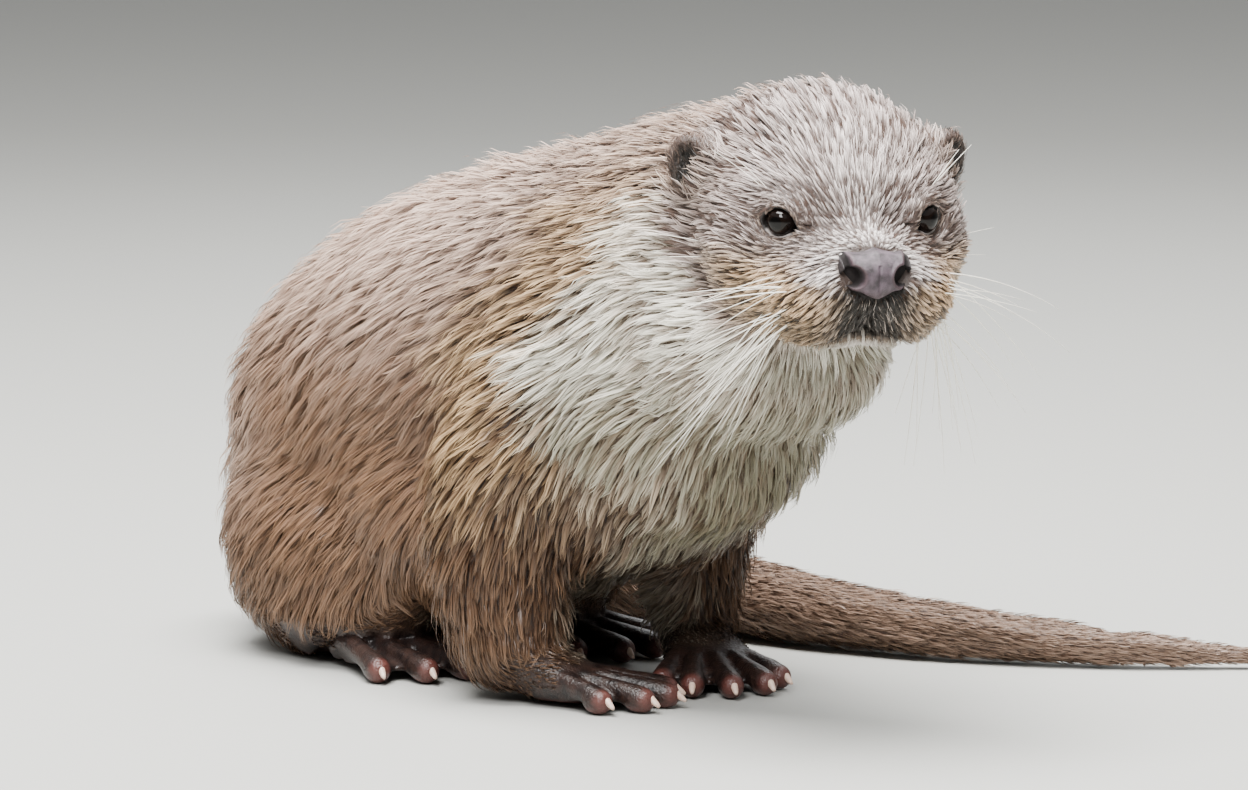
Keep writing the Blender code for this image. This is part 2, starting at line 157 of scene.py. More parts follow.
def smooth(mesh, rounds, weight=1.0):    # at weight 1 a point moves half way to its neighbours' mean
    edges = edgeList(mesh)
    places = points(mesh)
    weight = np.broadcast_to(weight, len(places))[:, None] * 0.5
    for _ in range(rounds):
        places += (neighbourMean(places, edges) - places) * weight
    setPoints(mesh, places)


def placed(name, data):    # an object of a mesh, lamp or camera, in the scene
    made = bpy.data.objects.new(name, data)
    bpy.context.scene.collection.objects.link(made)
    return made


def meshObject(name, places, faces):
    mesh = bpy.data.meshes.new(name)
    mesh.from_pydata([tuple(p) for p in places], [], [tuple(f) for f in faces])
    mesh.shade_smooth()
    return placed(name, mesh)


def finished(shape, name):    # an object from a bmesh
    mesh = bpy.data.meshes.new(name)
    shape.to_mesh(mesh)
    shape.free()
    mesh.shade_smooth()
    return placed(name, mesh)


def applied(obj, kind, **settings):    # gives the object a modifier and keeps its result as the mesh
    step = obj.modifiers.new("step", kind)
    for key, value in settings.items():
        setattr(step, key, value)
    graph = bpy.context.evaluated_depsgraph_get()
    mesh = bpy.data.meshes.new_from_object(obj.evaluated_get(graph))
    obj.modifiers.clear()
    obj.data = mesh
    mesh.shade_smooth()


def addTube(shape, knots, sides=16):    # a closed tube through knots of x, y, z, width, height radius
    knots = np.asarray(knots, float)
    up = np.array([0.0, 0.0, 1.0])
    loops = []
    for i, row in enumerate(knots):
        along = knots[min(i + 1, len(knots) - 1)][:3] - knots[max(i - 1, 0)][:3]
        along = along / np.linalg.norm(along)
        side = np.cross(along, up)
        side = side / np.linalg.norm(side)
        rise = np.cross(side, along)
        loop = []
        for k in range(sides):
            angle = 2 * math.pi * k / sides
            place = row[:3] + side * row[3] * math.cos(angle) + rise * row[4] * math.sin(angle)
            loop.append(shape.verts.new(place))
        loops.append(loop)
    for near, far in zip(loops, loops[1:]):
        for k in range(sides):
            shape.faces.new((near[k], near[(k + 1) % sides], far[(k + 1) % sides], far[k]))
    shape.faces.new(loops[0][::-1])
    shape.faces.new(loops[-1])


def through(knots, count):    # rows read from a smooth curve through every knot
    rows = np.asarray(knots, float)
    ends = np.vstack([2 * rows[0] - rows[1], rows, 2 * rows[-1] - rows[-2]])
    result = []
    for place in np.linspace(0.0, len(rows) - 1.0, count):
        i = min(int(place), len(rows) - 2)
        t = place - i
        a, b, c, d = ends[i:i + 4]
        result.append(0.5 * (2 * b + (c - a) * t + (2 * a - 5 * b + 4 * c - d) * t ** 2
                             + (3 * b - a - 3 * c + d) * t ** 3))
    return np.array(result)


def addBall(shape, centre, radius):
    matrix = Matrix.Translation(Vector(centre)) @ Matrix.Diagonal((radius, radius, radius, 1.0))
    bmesh.ops.create_icosphere(shape, subdivisions=3, radius=1.0, matrix=matrix)


# Camera: a long lens a little above the animal, ahead of its right shoulder.

camera = {
    "azimuth": -36.0,      # degrees
    "elevation": 6.5,
    "distance": 2.6,
    "width": 0.47424,      # what the frame spans at the eyes
    "eyesAside": 0.08702,  # the eyes are this far right of the centre of view
    "eyesAbove": 0.0665,   # and this far above it
}


def makeCamera():
    turn, rise = math.radians(camera["azimuth"]), math.radians(camera["elevation"])
    away = Vector((math.sin(turn) * math.cos(rise), -math.cos(turn) * math.cos(rise), math.sin(rise)))
    right = Vector((math.cos(turn), math.sin(turn), 0.0))
    up = away.cross(right)
    target = eyesMiddle - right * camera["eyesAside"] - up * camera["eyesAbove"]
    data = bpy.data.cameras.new("camera")
    data.sensor_width = 36.0
    data.lens = camera["distance"] / camera["width"] * data.sensor_width
    data.clip_start = 0.05
    data.clip_end = 100.0
    made = placed("camera", data)
    made.location = target + away * camera["distance"]
    made.rotation_euler = (-away).to_track_quat("-Z", "Y").to_euler()
    bpy.context.scene.camera = made


makeCamera()


# The lie of the coat, as combing strokes. Each row is x from the middle plane, y, z and the length of
# the hair there in millimetres. Hair lies along the nearest strokes. Strokes off the plane are mirrored.

strokes = {
    "spine": ((0, -0.110, 0.250, 11.2), (0, -0.073, 0.241, 13.8), (0, -0.028, 0.228, 16.2),
              (0, 0.027, 0.216, 17.5), (0, 0.077, 0.202, 17.5), (0, 0.124, 0.181, 17.5),
              (0, 0.159, 0.153, 17.5), (0, 0.190, 0.110, 17.5), (0.010, 0.212, 0.060, 15),
              (0.060, 0.205, 0.030, 11.2), (0.108, 0.165, 0.022, 10), (0.124, 0.095, 0.019, 9.4),
              (0.132, 0.023, 0.016, 8.8), (0.158, -0.045, 0.013, 7.5), (0.200, -0.101, 0.009, 6.2),
              (0.248, -0.138, 0.005, 5)),
    "flank": ((0.050, -0.085, 0.215, 13.8), (0.060, -0.020, 0.190, 16.2), (0.068, 0.020, 0.165, 17.5),
              (0.073, 0.060, 0.130, 17.5), (0.072, 0.095, 0.092, 17.5), (0.068, 0.120, 0.050, 16.2),
              (0.060, 0.135, 0.015, 11.2)),
    "rump": ((0.040, 0.080, 0.182, 17.5), (0.058, 0.120, 0.140, 17.5), (0.060, 0.155, 0.095, 17.5),
             (0.052, 0.178, 0.050, 15), (0.042, 0.185, 0.015, 11.2)),
    "shoulder": ((0.055, -0.130, 0.172, 13.8), (0.062, -0.090, 0.150, 16.2), (0.070, -0.052, 0.120, 16.2),
                 (0.072, -0.022, 0.085, 16.2), (0.068, -0.012, 0.055, 13.8), (0.062, -0.014, 0.028, 11.2),
                 (0.056, -0.018, 0.010, 6.2)),
    "innerArm": ((0.030, -0.060, 0.090, 15), (0.036, -0.040, 0.055, 12.5), (0.040, -0.034, 0.025, 10)),
    "breast": ((0.012, -0.170, 0.160, 12.5), (0.015, -0.150, 0.125, 16.2), (0.018, -0.118, 0.095, 15.5),
               (0.018, -0.085, 0.065, 12.5), (0.018, -0.040, 0.048, 12.5), (0.018, 0.020, 0.035, 17.5),
               (0.020, 0.080, 0.022, 15), (0.020, 0.140, 0.015, 12.5)),
    "haunch": ((0.078, 0.050, 0.095, 17.5), (0.080, 0.085, 0.062, 16.2), (0.078, 0.105, 0.030, 12.5),
               (0.070, 0.112, 0.008, 7.5)),
    "heel": ((0.045, 0.110, 0.015, 6.2), (0.045, 0.060, 0.014, 3.8)),
}


def strokeSegments():
    starts, ends, lengths = [], [], []
    for rows in strokes.values():
        rows = np.array(rows, float)
        for side in ((1,) if rows[0, 0] == 0 else (1, -1)):
            places = rows[:, :3] * (side, 1, 1) + (middlePlane, 0, 0)
            starts.extend(places[:-1])
            ends.extend(places[1:])
            lengths.extend(zip(rows[:-1, 3], rows[1:, 3]))
    return np.array(starts), np.array(ends), np.array(lengths) / 1000


segments = strokeSegments()


strokeReach = 0.010    # how far a stroke rules the hair round it before its neighbours join in


def bodyCombing(places):    # direction and length of hair from the strokes
    starts, ends, lengths = segments
    spans = ends - starts
    ways = unit(spans)
    direction, length, total = np.zeros_like(places), np.zeros(len(places)), np.zeros(len(places))
    for start, span, way, pair in zip(starts, spans, ways, lengths):
        t = np.clip((places - start) @ span / (span @ span), 0, 1)
        gap = np.sum((places - start - t[:, None] * span) ** 2, axis=1)
        weight = 1 / (gap + strokeReach ** 2) ** 2
        direction += weight[:, None] * way
        length += weight * (pair[0] + (pair[1] - pair[0]) * t)
        total += weight
    return unit(direction), length / total


headHair = {
    "fan": np.array([0.030, 0.0, -0.009]),    # the hair of the face fans out from here, in the head's frame
    # distance from the nose and length of the hair there
    "length": ((0.008, 0.0020), (0.020, 0.0034), (0.034, 0.0056), (0.050, 0.0085), (0.070, 0.0110),
               (0.100, 0.0135)),
    "padLength": (0.0052, 0.0080),            # shortest and longest on the whisker pads and chin
    "nearEye": ((1.2, 0.34), (2.0, 0.60), (3.6, 1.0)),    # share of that length, by openings from an eye
    "ear": 0.0033,
    "earWay": np.array([-0.45, 0.0, 1.0]),    # it points up and back
    "earReach": (0.0165, 0.0125),             # from an ear's middle, where its own hair ends and is whole
    "eyeParting": 0.0072,                     # radius of the ring that hair parts round at an eye
}
pawHair = 0.0030
coatLift = 0.27    # a hair's tip stands this share of its length over the skin


def headShare(local):    # 1 on the head, 0 from the neck on
    return ease(-0.078, -0.050, local[:, 0]) * ease(-0.078, -0.058, local[:, 2])


def earShare(places):    # 1 on the ears
    gaps = [np.linalg.norm(places - spotOf(ear), axis=1) for ear in ("ear_left", "ear_right")]
    return ease(*headHair["earReach"], np.minimum(*gaps))


def tailShare(places):    # 1 on the tail past its root
    return ease(0.070, 0.095, places[:, 0] - middlePlane) * ease(0.085, 0.060, places[:, 2])


def aroundEyes(places, direction):    # hair parts ahead of each eye and closes again behind it
    for side in (1, -1):
        out, inward, up = eyeAxes(side)
        away = places - spotOf(eyeNodes[side])
        a, b, da, db = away @ inward, away @ up, direction @ inward, direction @ up
        gap = np.maximum(np.hypot(a, b), 0.006)
        push = (headHair["eyeParting"] / gap) ** 2
        into = 2 * (da * a + db * b) / gap ** 2
        near = ease(0.030, 0.016, gap) * ease(-0.008, 0.0, away @ out)
        turned = ((push * (da - into * a) * near)[:, None] * inward
                  + (push * (db - into * b) * near)[:, None] * up)
        direction = direction + turned
    return unit(direction)


def alongFoot(places, name):    # how far ahead of the heel and how far aside each place lies, and the foot
    away = places - heels[name]
    along = away @ aheads[name]
    aside = np.linalg.norm((away - along[:, None] * aheads[name])[:, :2], axis=1)
    return along, aside, feet[name.split("_")[0]]


def pawFade(places):    # 1 over the paws, 0 from the wrist up, and the way that their toes point
    share, way = np.zeros(len(places)), np.zeros_like(places)
    for name in footNames:
        along, aside, size = alongFoot(places, name)
        own = (ease(-0.014, size["palm"] * 0.30, along) * ease(0.028, 0.018, places[:, 2])
               * ease(0.045, 0.036, aside) * ease(size["length"] + 0.02, size["length"] + 0.012, along))
        share = np.maximum(share, own)
        way += own[:, None] * aheads[name]
    return share, way


def combing(places):    # direction and length of the hair anywhere on the animal
    local = toHead(places)
    share = headShare(local)
    direction, length = bodyCombing(places)
    fromNose = np.linalg.norm(local - nose["middle"], axis=1)
    fan = unit(local - headHair["fan"])
    fan[:, 0] -= 0.25 * ease(0.02, 0.06, fromNose)    # the fan leans back on the cheeks and down on the chin
    fan[:, 2] -= 0.30 * ease(0.0, -0.03, local[:, 2]) * ease(0.018, 0.006, np.abs(local[:, 1]))
    faceLength = read(headHair["length"], fromNose)
    pad = ease(-0.030, -0.010, local[:, 0]) * ease(-0.004, -0.014, local[:, 2])
    faceLength = faceLength * (1 - pad) + np.clip(faceLength, *headHair["padLength"]) * pad
    nearEye = np.minimum(eyeShare(places, 1)[0], eyeShare(places, -1)[0])
    faceLength = faceLength * read(headHair["nearEye"], nearEye)
    headward = aroundEyes(places, headVector(unit(fan)))
    direction = unit(direction * (1 - share)[:, None] + headward * share[:, None])
    length = length * (1 - share) + faceLength * share
    length = length * (1 - 0.06 * tailShare(places))
    ear = earShare(places)
    upward = headVector(headHair["earWay"])
    direction = unit(direction * (1 - ear)[:, None] + upward * ear[:, None])
    length = length * (1 - ear) + headHair["ear"] * ear
    paw, toeward = pawFade(places)
    return unit(direction * (1 - paw)[:, None] + toeward), length * (1 - paw) + pawHair * paw


def coatDepth(length):    # how far the skin lies under the tips of the coat
    return length * coatLift


# Feet, built again in full from where their claws stand.

feet = {
    "forepaw": {
        "length": 0.071,        # heel to the tips of the claws
        "palm": 0.030,          # heel to the roots of the toes
        "halfWidth": 0.0195,
        "height": 0.0145,
        "toe": 0.0052,          # radius of a toe
        "web": 0.70,            # share of a toe's length that its web reaches
    },
    "hindfoot": {"length": 0.118, "palm": 0.068, "halfWidth": 0.0200, "height": 0.0150, "toe": 0.0054,
                 "web": 0.82},
}
footNames = [f"{kind}_{side}" for kind in feet for side in ("left", "right")]
webShares = (-0.36, -0.18, 0.0, 0.18, 0.36)    # where ribs of web stand between two toes


def heelOf(name):    # where the lines of the outer claws meet
    lines = []
    for k in (1, 5):
        places = points(solids[f"claw_{name}_{k}"].data)[:, :2]
        centre = places.mean(0)
        _, _, axes = np.linalg.svd(places - centre)
        lines.append((centre, axes[0]))
    (a, u), (b, v) = lines
    t = np.linalg.solve(np.array([u, -v]).T, b - a)
    return np.array([*(a + u * t[0]), 0.0])


def addFoot(shape, name):
    size = feet[name.split("_")[0]]
    heel = heelOf(name)
    toe = size["toe"]
    tips = []
    for k in range(5):
        places = points(solids[f"claw_{name}_{k + 1}"].data)
        away = places - heel
        reach = np.linalg.norm(away[:, :2], axis=1)
        way = unit(away[:, :2].mean(0))
        tips.append((way, reach.min() + toe * 0.95))
    ahead = unit(sum(way for way, _ in tips))

    def at(way, distance, height, wide, high):
        return (heel[0] + way[0] * distance, heel[1] + way[1] * distance, height, wide, high)

    palm, high, half = size["palm"], size["height"], size["halfWidth"]
    sole = [at(ahead, -0.012, high * 1.9, 0.010, high * 0.75),
            at(ahead, -0.004, high * 1.35, 0.0125, high * 0.85),
            at(ahead, palm * 0.4, high * 0.92, half * 0.80, high * 0.84),
            at(ahead, palm * 0.8, high * 0.68, half * 0.96, high * 0.64),
            at(ahead, palm * 1.08, high * 0.52, half * 0.92, high * 0.48),
            at(ahead, palm * 1.2, high * 0.45, half * 0.6, high * 0.3)]
    addTube(shape, through(sole, 14), 24)
    for way, tip in tips:
        root = palm * 0.72
        bend = root + (tip - root) * 0.50
        knots = [at(way, root, toe * 1.5, toe * 0.9, toe * 1.1),
                 at(way, root + (tip - root) * 0.22, toe * 2.0, toe * 0.86, toe * 0.95),
                 at(way, bend, toe * 1.72, toe * 0.80, toe * 0.86),
                 at(way, bend + (tip - bend) * 0.40, toe * 1.5, toe * 0.90, toe * 0.86),
                 at(way, tip - toe * 1.5, toe * 1.12, toe * 1.04, toe * 1.06),
                 at(way, tip - toe * 0.5, toe * 1.0, toe * 0.86, toe * 0.90),
                 at(way, tip - toe * 0.04, toe * 0.95, toe * 0.42, toe * 0.42)]
        addTube(shape, through(knots, 26), 14)
    for (left, near), (right, far) in zip(tips, tips[1:]):
        reach = (near + far) / 2
        for share in webShares:    # ribs side by side, which fuse into one web
            way = unit(left * (0.5 - share) + right * (0.5 + share))
            end = palm + (reach - palm) * size["web"] * (0.86 + 0.9 * share ** 2)
            wide = toe * 0.62
            knots = [at(way, palm * 0.85, toe * 1.2, wide, toe * 0.8),
                     at(way, (palm + end) / 2, toe * 1.15, wide, toe * 0.34),
                     at(way, end, toe * 0.95, wide, toe * 0.20)]
            addTube(shape, through(knots, 9), 10)


# Skin

skinMake = {
    "voxel": 0.0021,       # grain of the body as its solids are fused
    "footVoxel": 0.0010,
    "rounds": 16,          # of smoothing over the joins
    "lay": 4,              # steps in which the skin is drawn in under the coat
    "floor": 0.0002,       # the lowest that any of it lies
    "triangles": 186000,   # kept in the end, most of them on the face and feet
}
fleshNodes = ["head", "neck", "chest", "rump", "tail_1", "tail_2", "tail_3", "tail_4",
              "foreleg_left", "foreleg_right", "hindleg_left", "hindleg_right",
              "forepaw_left", "forepaw_right", "hindfoot_left", "hindfoot_right", "ear_left", "ear_right"]


def largestBody(obj):    # drops the closed shells left inside by the remesh
    mesh = obj.data
    edges = edgeList(mesh)
    label = np.arange(len(mesh.vertices))
    while True:
        low = np.minimum(label[edges[:, 0]], label[edges[:, 1]])
        best = label.copy()
        np.minimum.at(best, edges[:, 0], low)
        np.minimum.at(best, edges[:, 1], low)
        best = best[best]
        if (best == label).all():
            break
        label = best
    names, counts = np.unique(label, return_counts=True)
    if len(names) > 1:
        keep = names[np.argmax(counts)]
        shape = bmesh.new()
        shape.from_mesh(mesh)
        shape.verts.ensure_lookup_table()
        bmesh.ops.delete(shape, geom=[shape.verts[i] for i in np.nonzero(label != keep)[0]], context="VERTS")
        shape.to_mesh(mesh)
        shape.free()


def divide(obj, chosen):    # halves the edges of the faces whose middle is chosen
    shape = bmesh.new()
    shape.from_mesh(obj.data)
    middles = np.array([face.calc_center_median() for face in shape.faces])
    wanted = chosen(middles)
    shape.faces.ensure_lookup_table()
    edges = set()
    for i in np.nonzero(wanted)[0]:
        edges.update(shape.faces[i].edges)
    bmesh.ops.subdivide_edges(shape, edges=list(edges), cuts=1, use_grid_fill=True, smooth=0.0)
    shape.to_mesh(obj.data)
    shape.free()
    obj.data.shade_smooth()


def thinOut(obj, count):    # joins the flattest faces until about this many triangles are left
    obj.data.calc_loop_triangles()
    applied(obj, "DECIMATE", ratio=min(1.0, count / len(obj.data.loop_triangles)))


def nearFoot(places, name):
    low, high = (np.array(corner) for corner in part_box(name))
    return ((places > low - 0.004) & (places < high + 0.002)).all(axis=1)


def nearFeet(places):
    return np.any([nearFoot(places, name) for name in footNames], axis=0)


def bareness(places):    # 1 on the bare skin of the paws, 0 where the hair starts
    value = np.zeros(len(places))
    for name in footNames:
        along, aside, size = alongFoot(places, name)
        start, end = size["palm"] * 0.25, size["length"]
        own = ease(start, start + 0.010, along) * ease(0.020, 0.014, places[:, 2])
        own = own * ease(0.045, 0.038, aside) * ease(end + 0.02, end + 0.012, along)
        value = np.maximum(value, own)
    return value


def aheadOf(name):    # the way a foot points, level
    centres = [spotOf(f"claw_{name}_{k + 1}") for k in range(5)]
    way = sum(centres) / 5 - heels[name]
    way[2] = 0.0
    return way / np.linalg.norm(way)


heels = {name: heelOf(name) for name in footNames}
aheads = {name: aheadOf(name) for name in footNames}

eyeMake = {
    "radius": 0.0064,
    "gaze": math.radians(42),    # how far each eye looks aside
    "sunk": 0.0015,          # how far the ball is set back from the solid that holds its place
    "openWide": 0.00600,     # half the width of the opening between the lids
    "openHigh": 0.00515,
    "corner": 0.0018,        # how far the inner corner runs on towards the nose
    "outerCorner": 0.0006,
    "socket": 0.0069,        # radius of the flesh round the ball
    "browBall": 0.0085,      # radius of the flesh over it
    "cornea": 0.00035,       # how far the cornea stands out of the ball
    # openings from the middle of the eye, and how high the skin there stands over the ball's middle, mm
    "lid": ((1.0, 2.60), (1.04, 3.35), (1.10, 3.75), (1.20, 3.80), (1.45, 3.4)),
    # and how much higher it stands above the eye
    "upperLid": ((1.0, 0.1), (1.10, 0.7), (1.22, 0.9), (1.36, 0.35), (1.55, 0.9), (1.9, 0.6)),
}
eyeNodes = {1: "eye_left", -1: "eye_right"}


def eyeAxes(side):    # out of the head, towards the nose and up, for the eye on one side
    out = headVector(np.array([math.cos(eyeMake["gaze"]), side * math.sin(eyeMake["gaze"]), 0.0]))
    up = headVector(np.array([0.0, 0.0, 1.0]))
    return out, np.cross(up, out) * -side, up


def eyeMiddle(side):
    return spotOf(eyeNodes[side]) - eyeAxes(side)[0] * eyeMake["sunk"]


def eyeShare(places, side):    # openings from an eye, 1 at the lid's edge, with the way and angle from it
    out, inward, up = eyeAxes(side)
    away = places - eyeMiddle(side)
    a, b = away @ inward, away @ up
    angle = np.arctan2(b, a)
    corner = eyeMake["corner"] * bell(np.abs(angle + 0.30), 0.32)
    outer = eyeMake["outerCorner"] * bell(np.pi - np.abs(angle), 0.35)
    opening = 1 / np.sqrt((np.cos(angle) / eyeMake["openWide"]) ** 2
                          + (np.sin(angle) / eyeMake["openHigh"]) ** 2)
    ratio = np.hypot(a, b) / (opening + corner + outer)
    return np.where(away @ out > -0.010, ratio, 9.0), away, angle


def mouthHeight(local):    # height of the line between the lips
    aside = np.abs(local[:, 1])
    return -0.0388 - 0.0070 * ease(0.003, 0.024, aside) + 0.006 * ease(0.026, 0.040, aside)


faceMake = {    # how far the skin is raised or sunk for each feature, in metres
    "noseRim": 0.0030,       # short fur that meets the nose pad
    "mouth": 0.0034,
    "upperLip": 0.0012,
    "lowerLip": 0.0008,      # a thin strip
    "noseGroove": 0.0016,    # from the nose down to the mouth
    "whiskerPad": 0.0016,
    "padCrease": 0.0012,     # where the pad meets the bridge of the nose
    "brow": 0.0022,
    "eyeHollow": 0.0014,     # in front of each eye
    "eyeFold": 0.0010,       # under each eye, with a roll of cheek below it
    "cheekRoll": 0.0012,
    "furrow": 0.0009,        # shallow, up the middle of the forehead
}


def sculptFace(obj):
    mesh = obj.data
    places = points(mesh)
    local = toHead(places)
    normals = vertexNormals(mesh) @ headTurn.T
    near = (local[:, 0] > -0.09) & (local[:, 2] > -0.085)
    x, y, z = local.T
    aside = np.abs(y)
    shift = np.zeros(len(places))
    ring = np.hypot(y / nose["halfWidth"], (z - nose["middle"][2]) / nose["halfHeight"])
    shift += faceMake["noseRim"] * bell(ring - 1.15, 0.45) * ease(0.020, 0.032, x)
    line = z - mouthHeight(local)
    muzzle = ease(-0.012, 0.004, x)
    shift -= faceMake["mouth"] * bell(line, 0.0014) * muzzle
    shift += faceMake["upperLip"] * bell(line - 0.0042, 0.0030) * muzzle * ease(0.003, 0.010, aside)
    shift += faceMake["lowerLip"] * bell(line + 0.0030, 0.0018) * muzzle
    groove = bell(y, 0.0015) * ease(-0.020, -0.026, z) * ease(-0.040, -0.036, z) * ease(0.015, 0.025, x)
    shift -= faceMake["noseGroove"] * groove
    pad = bell(np.hypot((y - np.sign(y) * 0.0185) / 0.0125, (z + 0.0270) / 0.0095), 1.0)
    shift += faceMake["whiskerPad"] * pad * ease(0.0, 0.02, x)
    crease = bell(np.hypot((x - 0.014) / 0.016, (z + 0.0075 + 0.25 * (0.02 - x)) / 0.0034), 1.0)
    shift -= faceMake["padCrease"] * crease * ease(0.008, 0.016, aside)
    brow = bell(np.hypot((x + 0.010) / 0.013, (z - 0.0125) / 0.0048), 1.0)
    shift += faceMake["brow"] * brow * ease(0.008, 0.016, aside)
    hollow = bell(np.hypot((x - 0.013) / 0.009, (z - 0.0005) / 0.0055), 1.0)
    shift -= faceMake["eyeHollow"] * hollow * ease(0.006, 0.011, aside)
    slope = 0.35 * (x + 0.004)    # the fold and the roll run down towards the ear
    outside = ease(0.02, 0.027, aside)
    shift -= faceMake["eyeFold"] * bell(z + 0.0125 + slope, 0.0020) * bell(x + 0.012, 0.018) * outside
    shift += faceMake["cheekRoll"] * bell(z + 0.0180 + slope, 0.0040) * bell(x + 0.012, 0.020) * outside
    shift -= faceMake["furrow"] * bell(y, 0.006) * ease(-0.06, -0.03, x) * ease(0.0, 0.02, z)
    local = local + normals * (shift * near)[:, None]
    places = fromHead(local)
    for side in (1, -1):
        places = places + lidShift(places, side)
    setPoints(mesh, places)


def lidShift(places, side):    # sets the skin round an eye to the height of its lids over the ball
    out = eyeAxes(side)[0]
    ratio, away, angle = eyeShare(places, side)
    height = away @ out
    across = np.sqrt(np.maximum(np.sum(away ** 2, axis=1) - height ** 2, 0))
    ball = np.sqrt(np.maximum(eyeMake["radius"] ** 2 - across ** 2, 0))
    upper = np.maximum(0, np.sin(angle))
    lid = read(eyeMake["lid"], ratio) / 1000
    lid += upper * read(eyeMake["upperLid"], ratio) / 1000
    sunk = ease(1.0, 0.93, ratio)
    wanted = (ball - 0.0015) * sunk + lid * (1 - sunk)
    share = np.where(np.sin(angle) > 0, 1 - ease(1.25, 2.3, ratio), 1 - ease(1.12, 1.75, ratio))
    return ((wanted - height) * share)[:, None] * out


def makeSkin():
    shape = bmesh.new()
    for node in fleshNodes:
        if node.startswith(("forepaw", "hindfoot")):
            continue
        shape.from_mesh(solids[node].data)
    for side in (1, -1):
        out, _, up = eyeAxes(side)
        addBall(shape, eyeMiddle(side), eyeMake["socket"])
        addBall(shape, eyeMiddle(side) + up * 0.0040 - out * 0.0032, eyeMake["browBall"])
    for name in footNames:
        addFoot(shape, name)
    skin = finished(shape, "skin")
    applied(skin, "REMESH", mode="VOXEL", voxel_size=skinMake["voxel"])
    largestBody(skin)
    places = points(skin.data)
    # the thin tail is smoothed less, and the paws and ears hardly at all
    thin = ease(0.040, 0.012, places[:, 2]) * ease(middlePlane + 0.085, middlePlane + 0.10, places[:, 0])
    paw = nearFeet(places)
    ear = earShare(places)
    smooth(skin.data, skinMake["rounds"], np.clip(1 - 0.75 * thin - 0.95 * paw - 0.85 * ear, 0.05, 1))
    places = points(skin.data)
    _, length = combing(places)
    depth = coatDepth(length) * (1 - bareness(places)) * (1 - 0.7 * ear)
    for _ in range(skinMake["lay"]):
        places = places - vertexNormals(skin.data) * (depth / skinMake["lay"])[:, None]
        setPoints(skin.data, places)
    smooth(skin.data, 3, np.clip(1 - 0.6 * thin - 0.95 * paw - 0.85 * ear, 0.05, 1))
    places = points(skin.data)
    places[:, 2] = np.maximum(places[:, 2], skinMake["floor"])
    setPoints(skin.data, places)
    print("skin laid under the coat:", len(skin.data.polygons), "faces")
    divide(skin, lambda middles: faceZone(middles) | nearFeet(middles))
    divide(skin, eyeZone)
    divide(skin, eyeZone)
    local = toHead(points(skin.data))
    inFace = ease(-0.030, -0.015, local[:, 0]) * ease(-0.07, -0.06, local[:, 2])
    smooth(skin.data, 4, inFace)
    fitFeet(skin)
    sculptFace(skin)
    thinOut(skin, skinMake["triangles"])
    print("skin sculpted:", len(skin.data.polygons), "faces")
    return skin


def faceZone(middles):
    local = toHead(middles)
    return (local[:, 0] > -0.024) & (local[:, 2] > -0.060)


def eyeZone(middles):
    return (eyeShare(middles, 1)[0] < 2.0) | (eyeShare(middles, -1)[0] < 2.0)


def fitFeet(skin):    # draws the skin of the paws onto feet made with a finer grain
    shape = bmesh.new()
    for name in footNames:
        addFoot(shape, name)
    fine = finished(shape, "fineFeet")
    applied(fine, "REMESH", mode="VOXEL", voxel_size=skinMake["footVoxel"])
    smooth(fine.data, 2)
    tree = BVHTree.FromPolygons([tuple(p) for p in points(fine.data)],
                                [tuple(f.vertices) for f in fine.data.polygons])
    places = points(skin.data)
    bare = bareness(places)
    for i in np.nonzero(bare > 0.02)[0]:
        found = tree.find_nearest(places[i], 0.005)[0]
        if found is not None:
            places[i] += (np.array(found) - places[i]) * bare[i]
    places[:, 2] = np.maximum(places[:, 2], skinMake["floor"])
    setPoints(skin.data, places)
    bpy.data.objects.remove(fine)


skin = makeSkin()
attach(skin, "root")
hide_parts(*fleshNodes)


# Markings, shared by the skin and the coat

markMake = {
    "throatEdge": -0.058,     # y at which the cream of the breast ends, low down
    "throatTop": 0.154,       # above this height the edge runs forward to the ear
    "belly": 0.40,
    # x and z in the head's frame along the lower edge of the brown, from the ear to the corner of the jaw
    "cheekLine": ((-0.080, 0.019), (-0.0637, -0.003), (-0.0405, -0.034), (-0.026, -0.050), (0.0, -0.053)),
    "faceGrey": 0.86,
    # painted sheen: the back is painted paler the higher it lies, as light on the wet fur
    "backSheen": 0.95,
    "chestGrey": 0.22,        # taken off ahead of the shoulders
    "spineGrey": 0.34,        # taken off along the spine
    "tailGrey": 0.22,
    "rumpGrey": 0.36,
    "straw": 0.75,            # a band behind the cream
    "temple": 0.55,
    "padShade": 0.48,         # under the whisker pads
    "legShade": (0.30, 0.34),    # all over, and more on the inside
    "lowShade": 0.26,         # low on the body
    "tailShade": 0.13,
    "pawShade": 0.72,
}


